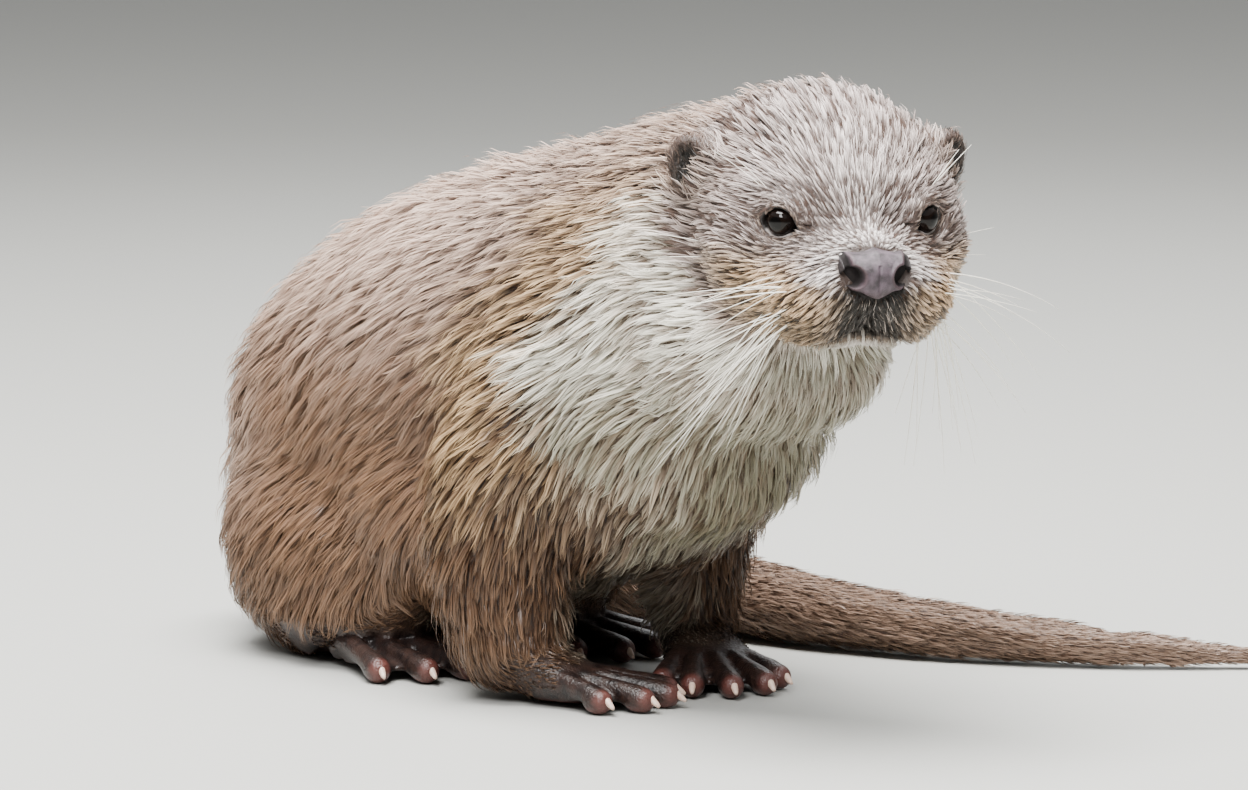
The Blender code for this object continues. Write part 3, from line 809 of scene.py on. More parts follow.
def markings(places):    # shares of each colour of the coat, from 0 to 1
    local = toHead(places)
    x, y, z = local.T
    aside = np.abs(y)
    share = headShare(local)
    tail = tailShare(places)
    bare = bareness(places)
    back, height = places[:, 1], places[:, 2]
    fromPlane = np.abs(places[:, 0] - middlePlane)
    wander = 0.006 * np.sin(height * 95 + places[:, 0] * 40) + 0.004 * np.sin(height * 230)
    # cream of the throat and breast, ahead of a line that rises from the elbow to the ear
    edge = markMake["throatEdge"] - 1.0 * np.maximum(0, height - markMake["throatTop"]) + wander
    throat = ease(edge + 0.014, edge - 0.012, back) * ease(0.012, -0.012, z - 0.012)
    arm = ease(0.118, 0.082, height) * ease(0.016, 0.038, fromPlane)
    throat *= (1 - 0.92 * arm) * (0.25 + 0.75 * ease(0.050, 0.074, height))
    belly = markMake["belly"] * ease(0.060, 0.035, height) * ease(0.045, 0.030, fromPlane)
    belly = belly * ease(0.16, 0.11, back)
    # cream of the cheeks and chin
    line = read(markMake["cheekLine"], x)
    cheek = ease(line + 0.009, line - 0.009, z + 0.3 * wander)
    chin = ease(0.0010, -0.0010, z - mouthHeight(local)) * ease(-0.012, 0.0, x)
    pale = np.maximum(np.maximum(cheek, chin) * share, throat * (1 - share))
    pale = np.maximum(pale, belly) * (1 - tail)
    # painted shade with a greenish cast of bounced light, on the cream low on the breast, on the chin and
    # under the jaw
    underChinShade = ease(-0.046, -0.060, z) * ease(-0.070, -0.045, x) * ease(0.040, 0.020, aside)
    underChinShade = 0.8 * (underChinShade * ease(-0.16, -0.13, z))
    oliveShade = pale * np.maximum(np.maximum(0.92 * ease(0.180, 0.102, height), 0.8 * chin), underChinShade)
    # the pale rim of the nose, run on up the bridge, and the shade under it
    fromNose = np.hypot(y / 1.25, z - nose["middle"][2])
    fromNose = np.hypot(fromNose, 0.6 * (x - nose["middle"][0]))
    rim = ease(0.0225, 0.0125, fromNose) * ease(-0.022, -0.015, z) * share
    rim = np.maximum(rim, 0.6 * bell(y, 0.013) * ease(0.034, 0.010, z) * ease(-0.022, -0.004, x) * share)
    under = ease(-0.0172, -0.0202, z) * ease(0.018, 0.009, aside) * ease(0.005, 0.02, x) * (1 - chin) * share
    tan = ease(-0.046, 0.004, x) * ease(-0.006, -0.022, z) * (1 - cheek) * (1 - chin) * (1 - rim) * share
    # grey of the face, tail and rump, and painted sheen: the back is painted paler the higher it lies,
    # standing in for light on the wet fur
    greyAndSheen = np.maximum(markMake["faceGrey"] * share, markMake["backSheen"] * ease(0.100, 0.228, height))
    greyAndSheen *= 1 - markMake["chestGrey"] * ease(0.03, -0.04, back) * (1 - share)
    spine = ease(0.052, 0.012, fromPlane) * (1 - share) * ease(0.08, 0.13, height)
    greyAndSheen *= 1 - markMake["spineGrey"] * spine
    tailTop = ease(-0.01, 0.10, places[:, 0] - middlePlane) * ease(0.095, 0.050, height)
    tailTop = tailTop * ease(0.0, 1.0, np.maximum(tail, ease(0.19, 0.215, back)))
    greyAndSheen = np.maximum(greyAndSheen, markMake["tailGrey"] * tailTop)
    rump = ease(0.10, 0.17, back) * ease(0.035, 0.10, height) * (1 - tail)
    greyAndSheen = np.maximum(greyAndSheen, markMake["rumpGrey"] * rump)
    straw = ease(edge + 0.074, edge + 0.028, back) * (1 - share) * ease(0.24, 0.19, height)
    straw = straw * markMake["straw"] * ease(0.060, 0.120, height)
    # the dark cup of each ear, and the skin round each eye
    cup = np.zeros(len(places))
    for ear in ("ear_left", "ear_right"):
        ahead, left, up = ((places - spotOf(ear)) @ headTurn.T).T
        inside = ease(1.05, 0.65, np.hypot(left / 0.0092, (up + 0.003) / 0.0092))
        cup = np.maximum(cup, inside * ease(-0.003, 0.001, ahead) * ease(0.013, 0.010, ahead))
    ring = np.zeros(len(places))
    for side in (1, -1):
        ring = np.maximum(ring, ease(1.75, 1.25, eyeShare(places, side)[0]))
    temple = bell(np.hypot(x + 0.038, z - 0.006), 0.018) * ease(0.018, 0.028, aside) * share
    ring = np.maximum(0.65 * ring, markMake["temple"] * temple)
    # shade where little light reaches
    padShade = markMake["padShade"] * ease(-0.026, -0.034, z) * ease(-0.020, 0.002, x) * (1 - chin) * share
    outer, inner = markMake["legShade"]
    legs = (outer + inner * ease(0.036, 0.020, fromPlane)) * ease(0.112, 0.066, height)
    legs = legs * ease(0.035, 0.0, back) * (1 - pale) * (1 - tail)
    low = markMake["lowShade"] * ease(0.085, 0.030, height) * (1 - pale) * (1 - tail) * (1 - share)
    tailShade, pawShade = markMake["tailShade"] * tail, markMake["pawShade"] * bare
    dark = np.maximum.reduce([cup, under * 0.95, legs, low, tailShade, pawShade, padShade])
    return {"straw": straw, "pale": pale, "greyAndSheen": greyAndSheen, "greyFace": 0.9 * share, "tan": tan,
            "oliveShade": oliveShade, "rim": rim, "ear": 0.8 * earShare(places), "ring": ring, "dark": dark,
            "face": share, "bare": bare}


def lidShade(places):    # the dark edges of the lids, and a painted reflection along the wet edge of the lower one
    dark, wet = np.zeros(len(places)), np.zeros(len(places))
    for side in (1, -1):
        ratio, _, angle = eyeShare(places, side)
        lower = ease(-0.45, -0.72, np.sin(angle + 0.05))
        dark = np.maximum(dark, ease(1.24 - 0.04 * lower, 1.14 - 0.04 * lower, ratio))
        wet = np.maximum(wet, lower * ease(0.93, 0.97, ratio) * ease(1.16, 1.11, ratio))
    return dark, wet


def giveAttribute(mesh, name, values):
    layer = mesh.attributes.new(name, "FLOAT", "POINT")
    layer.data.foreach_set("value", np.asarray(values, np.float32))


def markSkin():
    places = points(skin.data)
    marks = markings(places)
    marks["lid"], marks["wet"] = lidShade(places)
    local = toHead(places)
    line = local[:, 2] - mouthHeight(local)
    marks["lip"] = bell(line + 0.0004, 0.0016) * ease(-0.012, 0.0, local[:, 0]) * headShare(local)
    tips = np.zeros(len(places))
    for node in solids:
        if node.startswith("claw"):
            gap = np.linalg.norm(places - spotOf(node), axis=1)
            tips = np.maximum(tips, ease(0.0070, 0.0035, gap))
    marks["toe"] = np.maximum(tips, ease(0.0045, 0.0015, places[:, 2]) * marks["bare"])    # toes and soles
    marks["locked"] = wetness(places)
    for name, values in marks.items():
        giveAttribute(skin.data, name, values)


# Coat: strands of wet hair, drawn together into locks

coatMake = {
    "body": {
        "strands": 222000,
        "spacing": 0.0028,       # between locks
        "width": 0.00052,        # of a strand at its widest, drawn as wide as about five real hairs
        "usual": 0.0150,         # length that the spacing and width are meant for
        "own": 0.66,             # how much of a hair's tone comes from its lock
        "blur": 0.0038,          # how far a lock may stray over the edge of a marking
    },
    "face": {"strands": 72000, "spacing": 0.0025, "width": 0.00035, "usual": 0.0100, "own": 0.82,
             "blur": 0.0012},
    "faceDensity": ((0.015, 3.6), (0.03, 2.2), (0.05, 1.3), (0.09, 0.9)),    # by distance from the nose
    "gather": 0.94,              # how far the tips of a lock are drawn together
    "loose": 0.16,               # share of hairs that stay out of the locks
    # shares of a strand's length and of its rise: it rises at its root and then lies along the body
    "run": ((0.0, 0.0), (0.34, 0.56), (0.70, 0.94), (1.0, 0.98)),
    "taper": (0.90, 1.0, 0.66),  # width at the first three of those
    "patch": 0.003,              # side of each strand's own patch on the unwrap
    "most": 38500,               # strands in one piece
}


def unwrap(obj, name):    # flattens the skin into islands that keep its own shape
    bpy.ops.object.select_all(action="DESELECT")
    bpy.context.view_layer.objects.active = obj
    obj.select_set(True)
    obj.data.uv_layers.new(name=name)
    bpy.ops.object.mode_set(mode="EDIT")
    bpy.ops.mesh.select_all(action="SELECT")
    bpy.ops.uv.smart_project(angle_limit=math.radians(66), island_margin=0.001)
    bpy.ops.object.mode_set(mode="OBJECT")
    obj.select_set(False)


class Surface:    # the skin's triangles, with roots scattered over them
    def __init__(self, obj):
        mesh = obj.data
        mesh.calc_loop_triangles()
        count = len(mesh.loop_triangles)
        flat = np.empty(count * 3, np.int32)
        mesh.loop_triangles.foreach_get("vertices", flat)
        self.corners = flat.reshape(-1, 3).copy()
        mesh.loop_triangles.foreach_get("loops", flat)
        loops = flat.reshape(-1, 3)
        uv = np.empty(len(mesh.loops) * 2, np.float32)
        mesh.uv_layers[0].data.foreach_get("uv", uv)
        self.uv = uv.reshape(-1, 2)[loops]
        self.places = points(mesh)
        self.normals = vertexNormals(mesh)
        self.middles = self.places[self.corners].mean(axis=1)
        a, b, c = (self.places[self.corners[:, k]] for k in range(3))
        self.areas = np.linalg.norm(np.cross(b - a, c - a), axis=1) / 2
        self.tree = BVHTree.FromPolygons([tuple(p) for p in self.places], self.corners.tolist())

    def scatter(self, count, density):
        share = self.areas * density
        chosen = rng.choice(len(share), count, p=share / share.sum())
        u, v = rng.random(count), rng.random(count)
        over = u + v > 1
        u[over], v[over] = 1 - u[over], 1 - v[over]
        weights = np.stack([1 - u - v, u, v], axis=1)
        places = (self.places[self.corners[chosen]] * weights[:, :, None]).sum(axis=1)
        normals = unit((self.normals[self.corners[chosen]] * weights[:, :, None]).sum(axis=1))
        uv = (self.uv[chosen] * weights[:, :, None]).sum(axis=1)
        return places, normals, uv

    def onto(self, places):    # nearest places on the skin and the normals there
        found = np.empty_like(places)
        normals = np.empty_like(places)
        for i, place in enumerate(places):
            spot, normal, _, _ = self.tree.find_nearest(place)
            found[i] = spot
            normals[i] = normal
        return found, normals


def topOfPaw(places):    # where short hair runs on over the back of each paw
    top = np.zeros(len(places), bool)
    for name in footNames:
        along, _, size = alongFoot(places, name)
        top |= (along < size["palm"] * 0.78) & nearFoot(places, name)
    return top & (places[:, 2] > 0.0085)


def hairless(places):    # where no hair grows
    local = toHead(places)
    ring = np.sqrt((local[:, 1] / (nose["halfWidth"] - 0.0012)) ** 2
                   + ((local[:, 2] - nose["middle"][2]) / (nose["halfHeight"] - 0.0012)) ** 2)
    none = (ring < 1) & (local[:, 0] > 0.024)
    for side in (1, -1):
        none |= eyeShare(places, side)[0] < 1.13
    line = local[:, 2] - mouthHeight(local)
    none |= (np.abs(line + 0.0006) < 0.0013) & (local[:, 0] > -0.010) & (np.abs(local[:, 1]) < 0.03)
    none |= (bareness(places) > 0.35) & ~topOfPaw(places)
    none |= places[:, 2] < 0.0012
    return none


def spread(places, spacing):    # thins places out to about one in each cell of a grid
    cells = np.floor(places / spacing[:, None] + 1000).astype(np.int64)
    level = np.round(np.log2(spacing / 0.001) * 2).astype(np.int64)
    key = ((cells[:, 0] * 4001 + cells[:, 1]) * 4001 + cells[:, 2]) * 16 + level
    _, first = np.unique(key, return_index=True)
    return first


def drift(places, scale, seed):    # slow wandering of a value over the body, about -1 to 1
    shift = Vector((seed * 7.3, seed * 3.1, seed * 5.7))
    return np.array([noise.noise(Vector(p) / scale + shift) for p in places])


def wetness(places):    # 1 where water has drawn the coat into locks, less on the smooth back and rump
    tail = tailShare(places)
    share = ease(0.065, -0.030, places[:, 1]) * (1 - 0.9 * tail)
    low = 0.28 * ease(0.10, 0.05, places[:, 2]) * (1 - tail)
    return np.maximum(np.maximum(share, low), headShare(toHead(places)))


def hairDensity(surface, part):    # how thickly roots stand on each triangle of the skin
    middles = surface.middles
    headness = headShare(toHead(middles))
    keep = ~hairless(middles)
    if part == "face":
        fromNose = np.linalg.norm(toHead(middles) - nose["middle"], axis=1)
        return keep * headness * read(coatMake["faceDensity"], fromNose)
    lower = ease(0.06, 0.02, middles[:, 2])
    return keep * (1 - headness) * (1 + 0.6 * lower) * (1 + 0.4 * bareness(middles))


def makeLocks(surface, part, density):    # where the locks stand, and the run, rise and tone of each
    make = coatMake[part]
    places, normals, _ = surface.scatter(make["strands"], density)
    direction, length = combing(places)
    scale = np.clip(length / make["usual"], 0.70, 1.3)
    first = spread(places, make["spacing"] * scale)
    kept = (values[first] for values in (places, normals, direction, length, scale))
    places, normals, direction, length, scale = kept
    count = len(places)
    tail = tailShare(places)
    sway = drift(places, 0.034, 1) * 0.26 + drift(places, 0.012, 2) * 0.13 + rng.normal(0, 0.045, count)
    sway = sway * np.interp(length, [0.002, 0.010], [0.45, 1.0]) * (1 - 0.5 * tail)
    flat = unit(flatten(direction, normals))
    across = np.cross(normals, flat)
    flat = unit(flat * np.cos(sway)[:, None] + across * np.sin(sway)[:, None])
    reach = length * (1 + 0.22 * rng.normal(0, 1, count).clip(-1.6, 2.0))
    rise = np.clip(rng.normal(1.0, 0.22, count), 0.4, 1.6)
    wet = wetness(places)
    marks = markings(places)
    pick = np.interp(length, [0.006, 0.012], [0.56, 0.30]) if part == "face" else 0.50 - 0.20 * wet
    upper = rng.random(count) < pick + 0.14 * marks["pale"]    # pale locks lie over shorter ones, painted darker for the shade they lie in
    reach *= np.where(upper, 1.06, 0.80)
    rise *= np.where(upper, 1.10, 0.60)
    tone = np.where(upper, rng.uniform(0.62, 1.0, count), rng.uniform(0.0, 0.38, count))
    tone = 0.55 + (tone - 0.55) * (0.40 + 0.60 * wet + (0.0 if part == "face" else 0.45 * marks["straw"]))
    tone += 0.16 * marks["rim"] + 0.10 * marks["tan"]
    rise *= 0.72 + 0.7 * earShare(places) if part == "face" else 1 - 0.35 * tail
    tree = KDTree(count)
    for i, place in enumerate(places):
        tree.insert(place + flat[i] * length[i] * 0.30, i)
    tree.balance()
    return {"places": places, "flat": flat, "scale": scale, "reach": reach, "rise": rise, "wet": wet,
            "tone": tone, "tree": tree}


def makeStrands(surface, part):    # single hairs, each drawn in towards the lock that it belongs to
    make = coatMake[part]
    density = hairDensity(surface, part)
    locks = makeLocks(surface, part, density)
    count, spacing, usual = make["strands"], make["spacing"], make["usual"]
    roots, rootNormals, uv = surface.scatter(count, density)
    combed, ownLength = combing(roots)
    ahead = roots + unit(flatten(combed, rootNormals)) * ownLength[:, None] * 0.30
    lock = np.array([locks["tree"].find(place)[1] for place in ahead])
    flat, scale, wet = locks["flat"][lock], locks["scale"][lock], locks["wet"][lock]
    gather = coatMake["gather"] * np.clip(rng.normal(1, 0.12, count), 0.2, 1.06) * (0.32 + 0.68 * wet)
    gather = gather * np.where(rng.random(count) < coatMake["loose"], 0.35, 1.0)
    offset = flatten(roots - locks["places"][lock], rootNormals)
    reach = locks["reach"][lock] * rng.uniform(0.74, 1.05, count)
    stray = rng.random(count)
    bow = rng.normal(0, 0.03, count) + rng.normal(0, 0.06, len(locks["places"]))[lock]
    bow = (bow * reach)[:, None] * np.cross(rootNormals, flat)
    core = bell(np.linalg.norm(offset, axis=1), 0.55 * spacing * scale)    # 1 in the middle of a lock
    rise = coatDepth(reach) * locks["rise"][lock] * rng.uniform(0.75, 1.1, count)
    rise = (rise + 0.16 * spacing * scale * core) * np.where(stray > 0.985, 1.35, 1.0)
    rows = [(roots - rootNormals * 0.0002, rootNormals)]
    for t, lie in coatMake["run"][1:]:
        path = roots + flat * (reach * t)[:, None] - offset * (gather * t ** 0.32)[:, None]
        path, up = surface.onto(path + bow * math.sin(math.pi * t))
        rows.append((path + up * (rise * lie)[:, None], up))
    blur = rng.normal(0, make["blur"], (len(locks["places"]), 3))[lock]
    tone = make["own"] * locks["tone"][lock] + (1 - make["own"]) * core
    return {"rows": rows, "uv": uv, "marked": roots + blur, "tone": tone, "stray": stray, "roots": roots,
            "wet": wet, "width": make["width"] * np.clip(reach / usual, 0.55, 1.15)}


def buildCoat(name, strands, chosen):    # flat pointed strands of five triangles each, as one piece
    rows, steps = strands["rows"], [t for t, _ in coatMake["run"]]
    count = len(chosen)
    roll = rng.normal(0, 0.42, count).clip(-0.9, 0.9)
    columns, along, across = [], [], []
    for k, share in enumerate(coatMake["taper"]):
        path, up = rows[k][0][chosen], rows[k][1][chosen]
        way = unit(rows[k + 1][0][chosen] - path)
        side = unit(np.cross(up, way))
        side = side * np.cos(roll)[:, None] + np.cross(way, side) * np.sin(roll)[:, None]
        half = (strands["width"][chosen] * share / 2)[:, None]
        columns += [path - side * half, path + side * half]
        along += [steps[k]] * 2
        across += [-1.0, 1.0]
    columns.append(rows[-1][0][chosen])
    along, across = np.array(along + [1.0]), np.array(across + [0.0])
    perStrand = len(columns)
    places = np.stack(columns, axis=1).reshape(-1, 3)
    places[:, 2] = np.maximum(places[:, 2], 0.0003)
    pattern = np.array([(0, 1, 3), (0, 3, 2), (2, 3, 5), (2, 5, 4), (4, 5, 6)])
    faces = (pattern[None] + (np.arange(count) * perStrand)[:, None, None]).reshape(-1, 3)
    mesh = bpy.data.meshes.new(name)
    mesh.vertices.add(len(places))
    mesh.vertices.foreach_set("co", places.ravel())
    mesh.loops.add(faces.size)
    mesh.loops.foreach_set("vertex_index", faces.ravel().astype(np.int32))
    mesh.polygons.add(len(faces))
    mesh.polygons.foreach_set("loop_start", np.arange(0, faces.size, 3, dtype=np.int32))
    mesh.update(calc_edges=True)
    mesh.shade_smooth()
    # every strand is one small patch at its root's place on the skin's unwrap
    patch = np.stack([across / 2, along - 0.5], axis=1) * coatMake["patch"]
    corner = (strands["uv"][chosen][:, None, :] + patch[None]).reshape(-1, 2)[faces.ravel()]
    layer = mesh.uv_layers.new(name="OFBake")
    layer.data.foreach_set("uv", corner.astype(np.float32).ravel())
    giveAttribute(mesh, "along", np.tile(along, count))
    marks = markings(strands["marked"][chosen])
    marks["tone"], marks["stray"] = strands["tone"][chosen], strands["stray"][chosen]
    marks["locked"] = strands["wet"][chosen]
    marks["dark"] = marks["dark"] * np.where(marks["stray"] > 0.92, 0.25, 1.0)    # a few hairs stay pale
    for mark, values in marks.items():
        giveAttribute(mesh, mark, np.repeat(values, perStrand))
    made = placed(name, mesh)
    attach(made, "root")
    return made


def bodyRegions(roots):    # which piece of the coat each root belongs to
    x = roots[:, 0] - middlePlane
    y, z = roots[:, 1], roots[:, 2]
    tailed = (x > 0.088) | ((y > 0.196) & (z < 0.07)) | ((x > 0.02) & (y > 0.185) & (z < 0.062))
    legs = (z < 0.072) & ~tailed
    neck = (y < -0.045) & ~legs
    cream = markings(roots)["pale"] > 0.5
    trunk = ~(tailed | legs | neck)
    return {"tail": tailed, "legs": legs, "throat": neck & cream, "nape": neck & ~cream,
            "back": trunk & (y < 0.09), "rump": trunk & (y >= 0.09)}


def makeCoat(surface):
    made = []
    body = makeStrands(surface, "body")
    print("body combed")
    for region, inside in bodyRegions(body["roots"]).items():
        chosen = np.nonzero(inside)[0]
        parts = max(1, math.ceil(len(chosen) / coatMake["most"]))
        chosen = chosen[np.argsort(body["roots"][chosen, 1])]
        for k, share in enumerate(np.array_split(chosen, parts)):
            made.append(buildCoat(f"coat_{region}_{k + 1}", body, share))
    face = makeStrands(surface, "face")
    print("face combed")
    order = np.argsort(toHead(face["roots"])[:, 0])
    for k, share in enumerate(np.array_split(order, math.ceil(len(order) / coatMake["most"]))):
        made.append(buildCoat(f"coat_head_{k + 1}", face, share))
    for piece in made:
        print(piece.name, len(piece.data.polygons), "triangles")
    return made


unwrap(skin, "OFBake")
print("skin unwrapped")
markSkin()
surface = Surface(skin)
coat = makeCoat(surface)


# Materials

def linear(hexColour):
    channels = [int(hexColour[i:i + 2], 16) / 255 for i in (1, 3, 5)]
    return (*[c / 12.92 if c <= 0.04045 else ((c + 0.055) / 1.055) ** 2.4 for c in channels], 1.0)


def addNode(tree, kind, output=0, settings=None, **inputs):    # adds and links a node, and gives one output
    node = tree.nodes.new("ShaderNode" + kind)
    for key, value in (settings or {}).items():
        setattr(node, key, value)
    for key, value in inputs.items():
        socket = node.inputs[int(key[1:])] if key[0] == "i" and key[1:].isdigit() else node.inputs[key]
        if isinstance(value, bpy.types.NodeSocket):
            tree.links.new(value, socket)
        else:
            socket.default_value = value
    return node.outputs[output]


def newMaterial(name):
    made = bpy.data.materials.new(name)
    made.use_nodes = True
    return made, made.node_tree, made.node_tree.nodes["Principled BSDF"]


def overlaid(tree, colour, layers):    # lays colours over one another, each by a mark or a value
    for share, over in layers:
        if isinstance(share, str):
            share = addNode(tree, "Attribute", "Fac", {"attribute_name": share})
        colour = addNode(tree, "Mix", 2, {"data_type": "RGBA"}, i0=share, i6=colour, i7=linear(over))
    return colour


furLook = {
    "brown": "#7c5f48",
    # laid over the brown in this order, each where its mark is
    "over": {
        # paler on the face, tail and rump, and a painted sheen on the back, paler the higher it lies
        "greyAndSheen": "#e5ccbd",
        "greyFace": "#cbbeba",
        "straw": "#c8a97f",
        "tan": "#eecca4",
        "pale": "#fbf7ea",
        # painted shade with a greenish cast of bounced light, over the cream low on the breast and under the
        # chin
        "oliveShade": "#706a4f",
        "rim": "#f0e8e4",
        "ear": "#80665a",
        "ring": "#8f7860",
        # painted shade under the nose and whisker pads, on the legs, the tail and low on the body, with the
        # dark cups of the ears and the dark paws
        "dark": "#16120b",
    },
    # colours at the roots: the hairs' own darker roots, deepened by painted shade where the locks overlap
    "rootBack": "#775c4c",
    "root": "#442e22",       # warm brown between the locks, darkened by painted shade
    "rootFace": "#52423b",
    "rootTan": "#38240f",
    "rootPale": "#8a735c",
    "rootDark": "#120e09",
    "roughness": 0.32,
    "water": 1.36,           # IOR of the film of water on it
    "paleGain": 1.36,        # how much further cream hair turns from its root's colour to its own
    "stray": (0.78, 1.22),   # how far single hairs turn, least and most
}


# the colour at the roots of the hair, partly their own darker brown and partly painted shade of the hair
# over them
def rootAndShadeColour(tree):
    pale = addNode(tree, "Attribute", "Fac", {"attribute_name": "pale"})
    mostlyPale = addNode(tree, "MapRange", i0=pale, i4=0.75)
    return overlaid(tree, linear(furLook["rootBack"]), (
        ("locked", furLook["root"]), ("face", furLook["rootFace"]), ("tan", furLook["rootTan"]),
        (mostlyPale, furLook["rootPale"]), ("dark", furLook["rootDark"])))


def wetHair():    # keratin hair, combed by water into locks, with a satin gloss: paler at the tips and darker to the root, partly its own colour and partly painted shade of the hair lying over it
    made, tree, shader = newMaterial("wetHair")
    along, tone, stray, locked, pale, face = (
        addNode(tree, "Attribute", "Fac", {"attribute_name": name})
        for name in ("along", "tone", "stray", "locked", "pale", "face"))
    # each hair turns from the root's colour to the coat's, painting the shade over its lower part, and
    # starts further on where the back is smooth
    rising = addNode(tree, "Math", 0, {"operation": "POWER"}, i0=along, i1=1.5)
    atRoot = addNode(tree, "MapRange", i0=locked, i3=0.42, i4=0.10)
    atRoot = addNode(tree, "Math", 0, {"operation": "MULTIPLY_ADD"}, i0=pale, i1=0.18, i2=atRoot)
    level = addNode(tree, "MapRange", i0=rising, i2=0.92, i3=atRoot, i4=1.14)
    # the low locks keep more of the root's colour, a painted shade under the locks over them, most of all in
    # the brown of the face
    notPale = addNode(tree, "MapRange", i0=pale, i3=1.0, i4=0.0)
    brownFace = addNode(tree, "Math", 0, {"operation": "MULTIPLY"}, i0=face, i1=notPale)
    lowTone = addNode(tree, "MapRange", i0=brownFace, i3=0.34, i4=-0.56)
    tones = (addNode(tree, "MapRange", i0=tone, i3=lowTone, i4=1.30),
             addNode(tree, "MapRange", i0=pale, i3=1.0, i4=furLook["paleGain"]),
             addNode(tree, "MapRange", i0=stray, i3=furLook["stray"][0], i4=furLook["stray"][1]))
    for factor in tones:
        level = addNode(tree, "Math", 0, {"operation": "MULTIPLY"}, i0=level, i1=factor)
    coatColour = overlaid(tree, linear(furLook["brown"]), furLook["over"].items())
    colour = addNode(tree, "Mix", 2, {"data_type": "RGBA"}, i0=level, i6=rootAndShadeColour(tree), i7=coatColour)
    tree.links.new(colour, shader.inputs["Base Color"])
    shader.inputs["Roughness"].default_value = furLook["roughness"]
    shader.inputs["IOR"].default_value = furLook["water"]
    return made


skinLook = {
    "underfur": 0.55,        # brightness of the underfur beside the roots of the long hair, dimmed as painted shade under it
    "paw": ("#130a09", "#2c1d18"),
    "toe": ("#5a322c", 0.80),
    "lid": "#15100e",
    # a pale painted reflection along the wet edge of the lower lid
    "lidGlint": "#a39a96",
    "lip": "#1d1610",
    "roughness": (0.55, 0.40),    # of underfur and of bare skin
    # sizes in millimetres
    "blotch": 4.167,         # uneven colour of the paws, in patches half as wide as a toe
    "fold": 1.613,           # between the creases of the paws; real ones stand 1 mm apart, too fine to show
    "grain": 1.111,          # of underfur and skin; real grain is half as wide, too fine to show
    "relief": 0.5,           # height of both
}


def underfur():    # the dense short hair at the roots, damp and darkened by painted shade between the locks, and the bare skin
    made, tree, shader = newMaterial("underfur")
    place = addNode(tree, "TexCoord", "Object")
    bare, toe = (addNode(tree, "Attribute", "Fac", {"attribute_name": name}) for name in ("bare", "toe"))
    colour = addNode(tree, "VectorMath", 0, {"operation": "SCALE"}, i0=rootAndShadeColour(tree),
                     Scale=skinLook["underfur"])
    blotch = addNode(tree, "TexNoise", "Fac", Scale=1000 / skinLook["blotch"], Detail=5.0, Vector=place)
    blotch = addNode(tree, "MapRange", i0=blotch, i1=0.36, i2=0.62)
    (darkPaw, lightPaw), (toeColour, toeShare) = skinLook["paw"], skinLook["toe"]
    toe = addNode(tree, "Math", 0, {"operation": "MULTIPLY"}, i0=toe, i1=toeShare)
    paw = overlaid(tree, linear(darkPaw), ((blotch, lightPaw), (toe, toeColour)))
    colour = addNode(tree, "Mix", 2, {"data_type": "RGBA"}, i0=bare, i6=colour, i7=paw)
    # the dark lid edges, a painted reflection along the wet lower lid, and the dark lips
    colour = overlaid(tree, colour, (("lid", skinLook["lid"]), ("wet", skinLook["lidGlint"]),
                                     ("lip", skinLook["lip"])))
    tree.links.new(colour, shader.inputs["Base Color"])
    hairy, naked = skinLook["roughness"]
    tree.links.new(addNode(tree, "MapRange", i0=bare, i3=hairy, i4=naked), shader.inputs["Roughness"])
    grain = addNode(tree, "TexNoise", "Fac", Scale=1000 / skinLook["grain"], Detail=3.0, Vector=place)
    folds = addNode(tree, "TexVoronoi", "Distance", {"feature": "DISTANCE_TO_EDGE"},
                    Scale=1000 / skinLook["fold"], Vector=place)
    relief = addNode(tree, "Math", 0, {"operation": "MULTIPLY_ADD"}, i0=folds, i1=0.8, i2=grain)
    bump = addNode(tree, "Bump", Strength=0.75, Distance=skinLook["relief"] / 1000, Height=relief)
    tree.links.new(bump, shader.inputs["Normal"])
    return made


hair = wetHair()
for piece in coat:
    piece.data.materials.append(hair)
skin.data.materials.append(underfur())


# Eyes

eyeLook = {
    "pupil": "#030202",
    "iris": ("#0c0604", 0.36, 0.42),     # colour, and the angles from the gaze over which it starts
    "white": ("#140e0c", 0.86, 1.0),     # so deep in the lids that it shows only as a dark edge
    "roughness": 0.04,
    "tears": 1.336,                      # IOR of their film
}


def wetEye():    # a moist cornea over an iris of so deep a brown that it reads as black
    made, tree, shader = newMaterial("wetEye")
    gaze = addNode(tree, "Attribute", "Fac", {"attribute_name": "fromGaze"})
    layers = []
    for name in ("iris", "white"):
        colour, first, last = eyeLook[name]
        layers.append((addNode(tree, "MapRange", i0=gaze, i1=first, i2=last), colour))
    tree.links.new(overlaid(tree, linear(eyeLook["pupil"]), layers), shader.inputs["Base Color"])
    shader.inputs["Roughness"].default_value = eyeLook["roughness"]
    shader.inputs["IOR"].default_value = eyeLook["tears"]
    return made


def makeEye(side):
    node = eyeNodes[side]
    out, inward, up = eyeAxes(side)
    shape = bmesh.new()
    bmesh.ops.create_uvsphere(shape, u_segments=64, v_segments=48, radius=1.0)
    made = finished(shape, f"eyeball_{node[4:]}")
    unitBall = points(made.data)
    turn = np.arccos(np.clip(unitBall[:, 2], -1, 1))
    bulge = eyeMake["cornea"] * ease(0.95, 0.55, turn)
    radius = eyeMake["radius"] - 0.0001 + bulge    # just clear of the lids
    local = unitBall * radius[:, None]
    places = eyeMiddle(side) + local[:, 2:] * out + local[:, :1] * inward + local[:, 1:2] * up
    setPoints(made.data, places)
    giveAttribute(made.data, "fromGaze", turn)
    made.data.materials.append(wetEye())
    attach(made, "root")
    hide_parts(node)


for side in (1, -1):
    makeEye(side)
print("eyes set")


# Nose pad: a shield between two comma-shaped nostrils

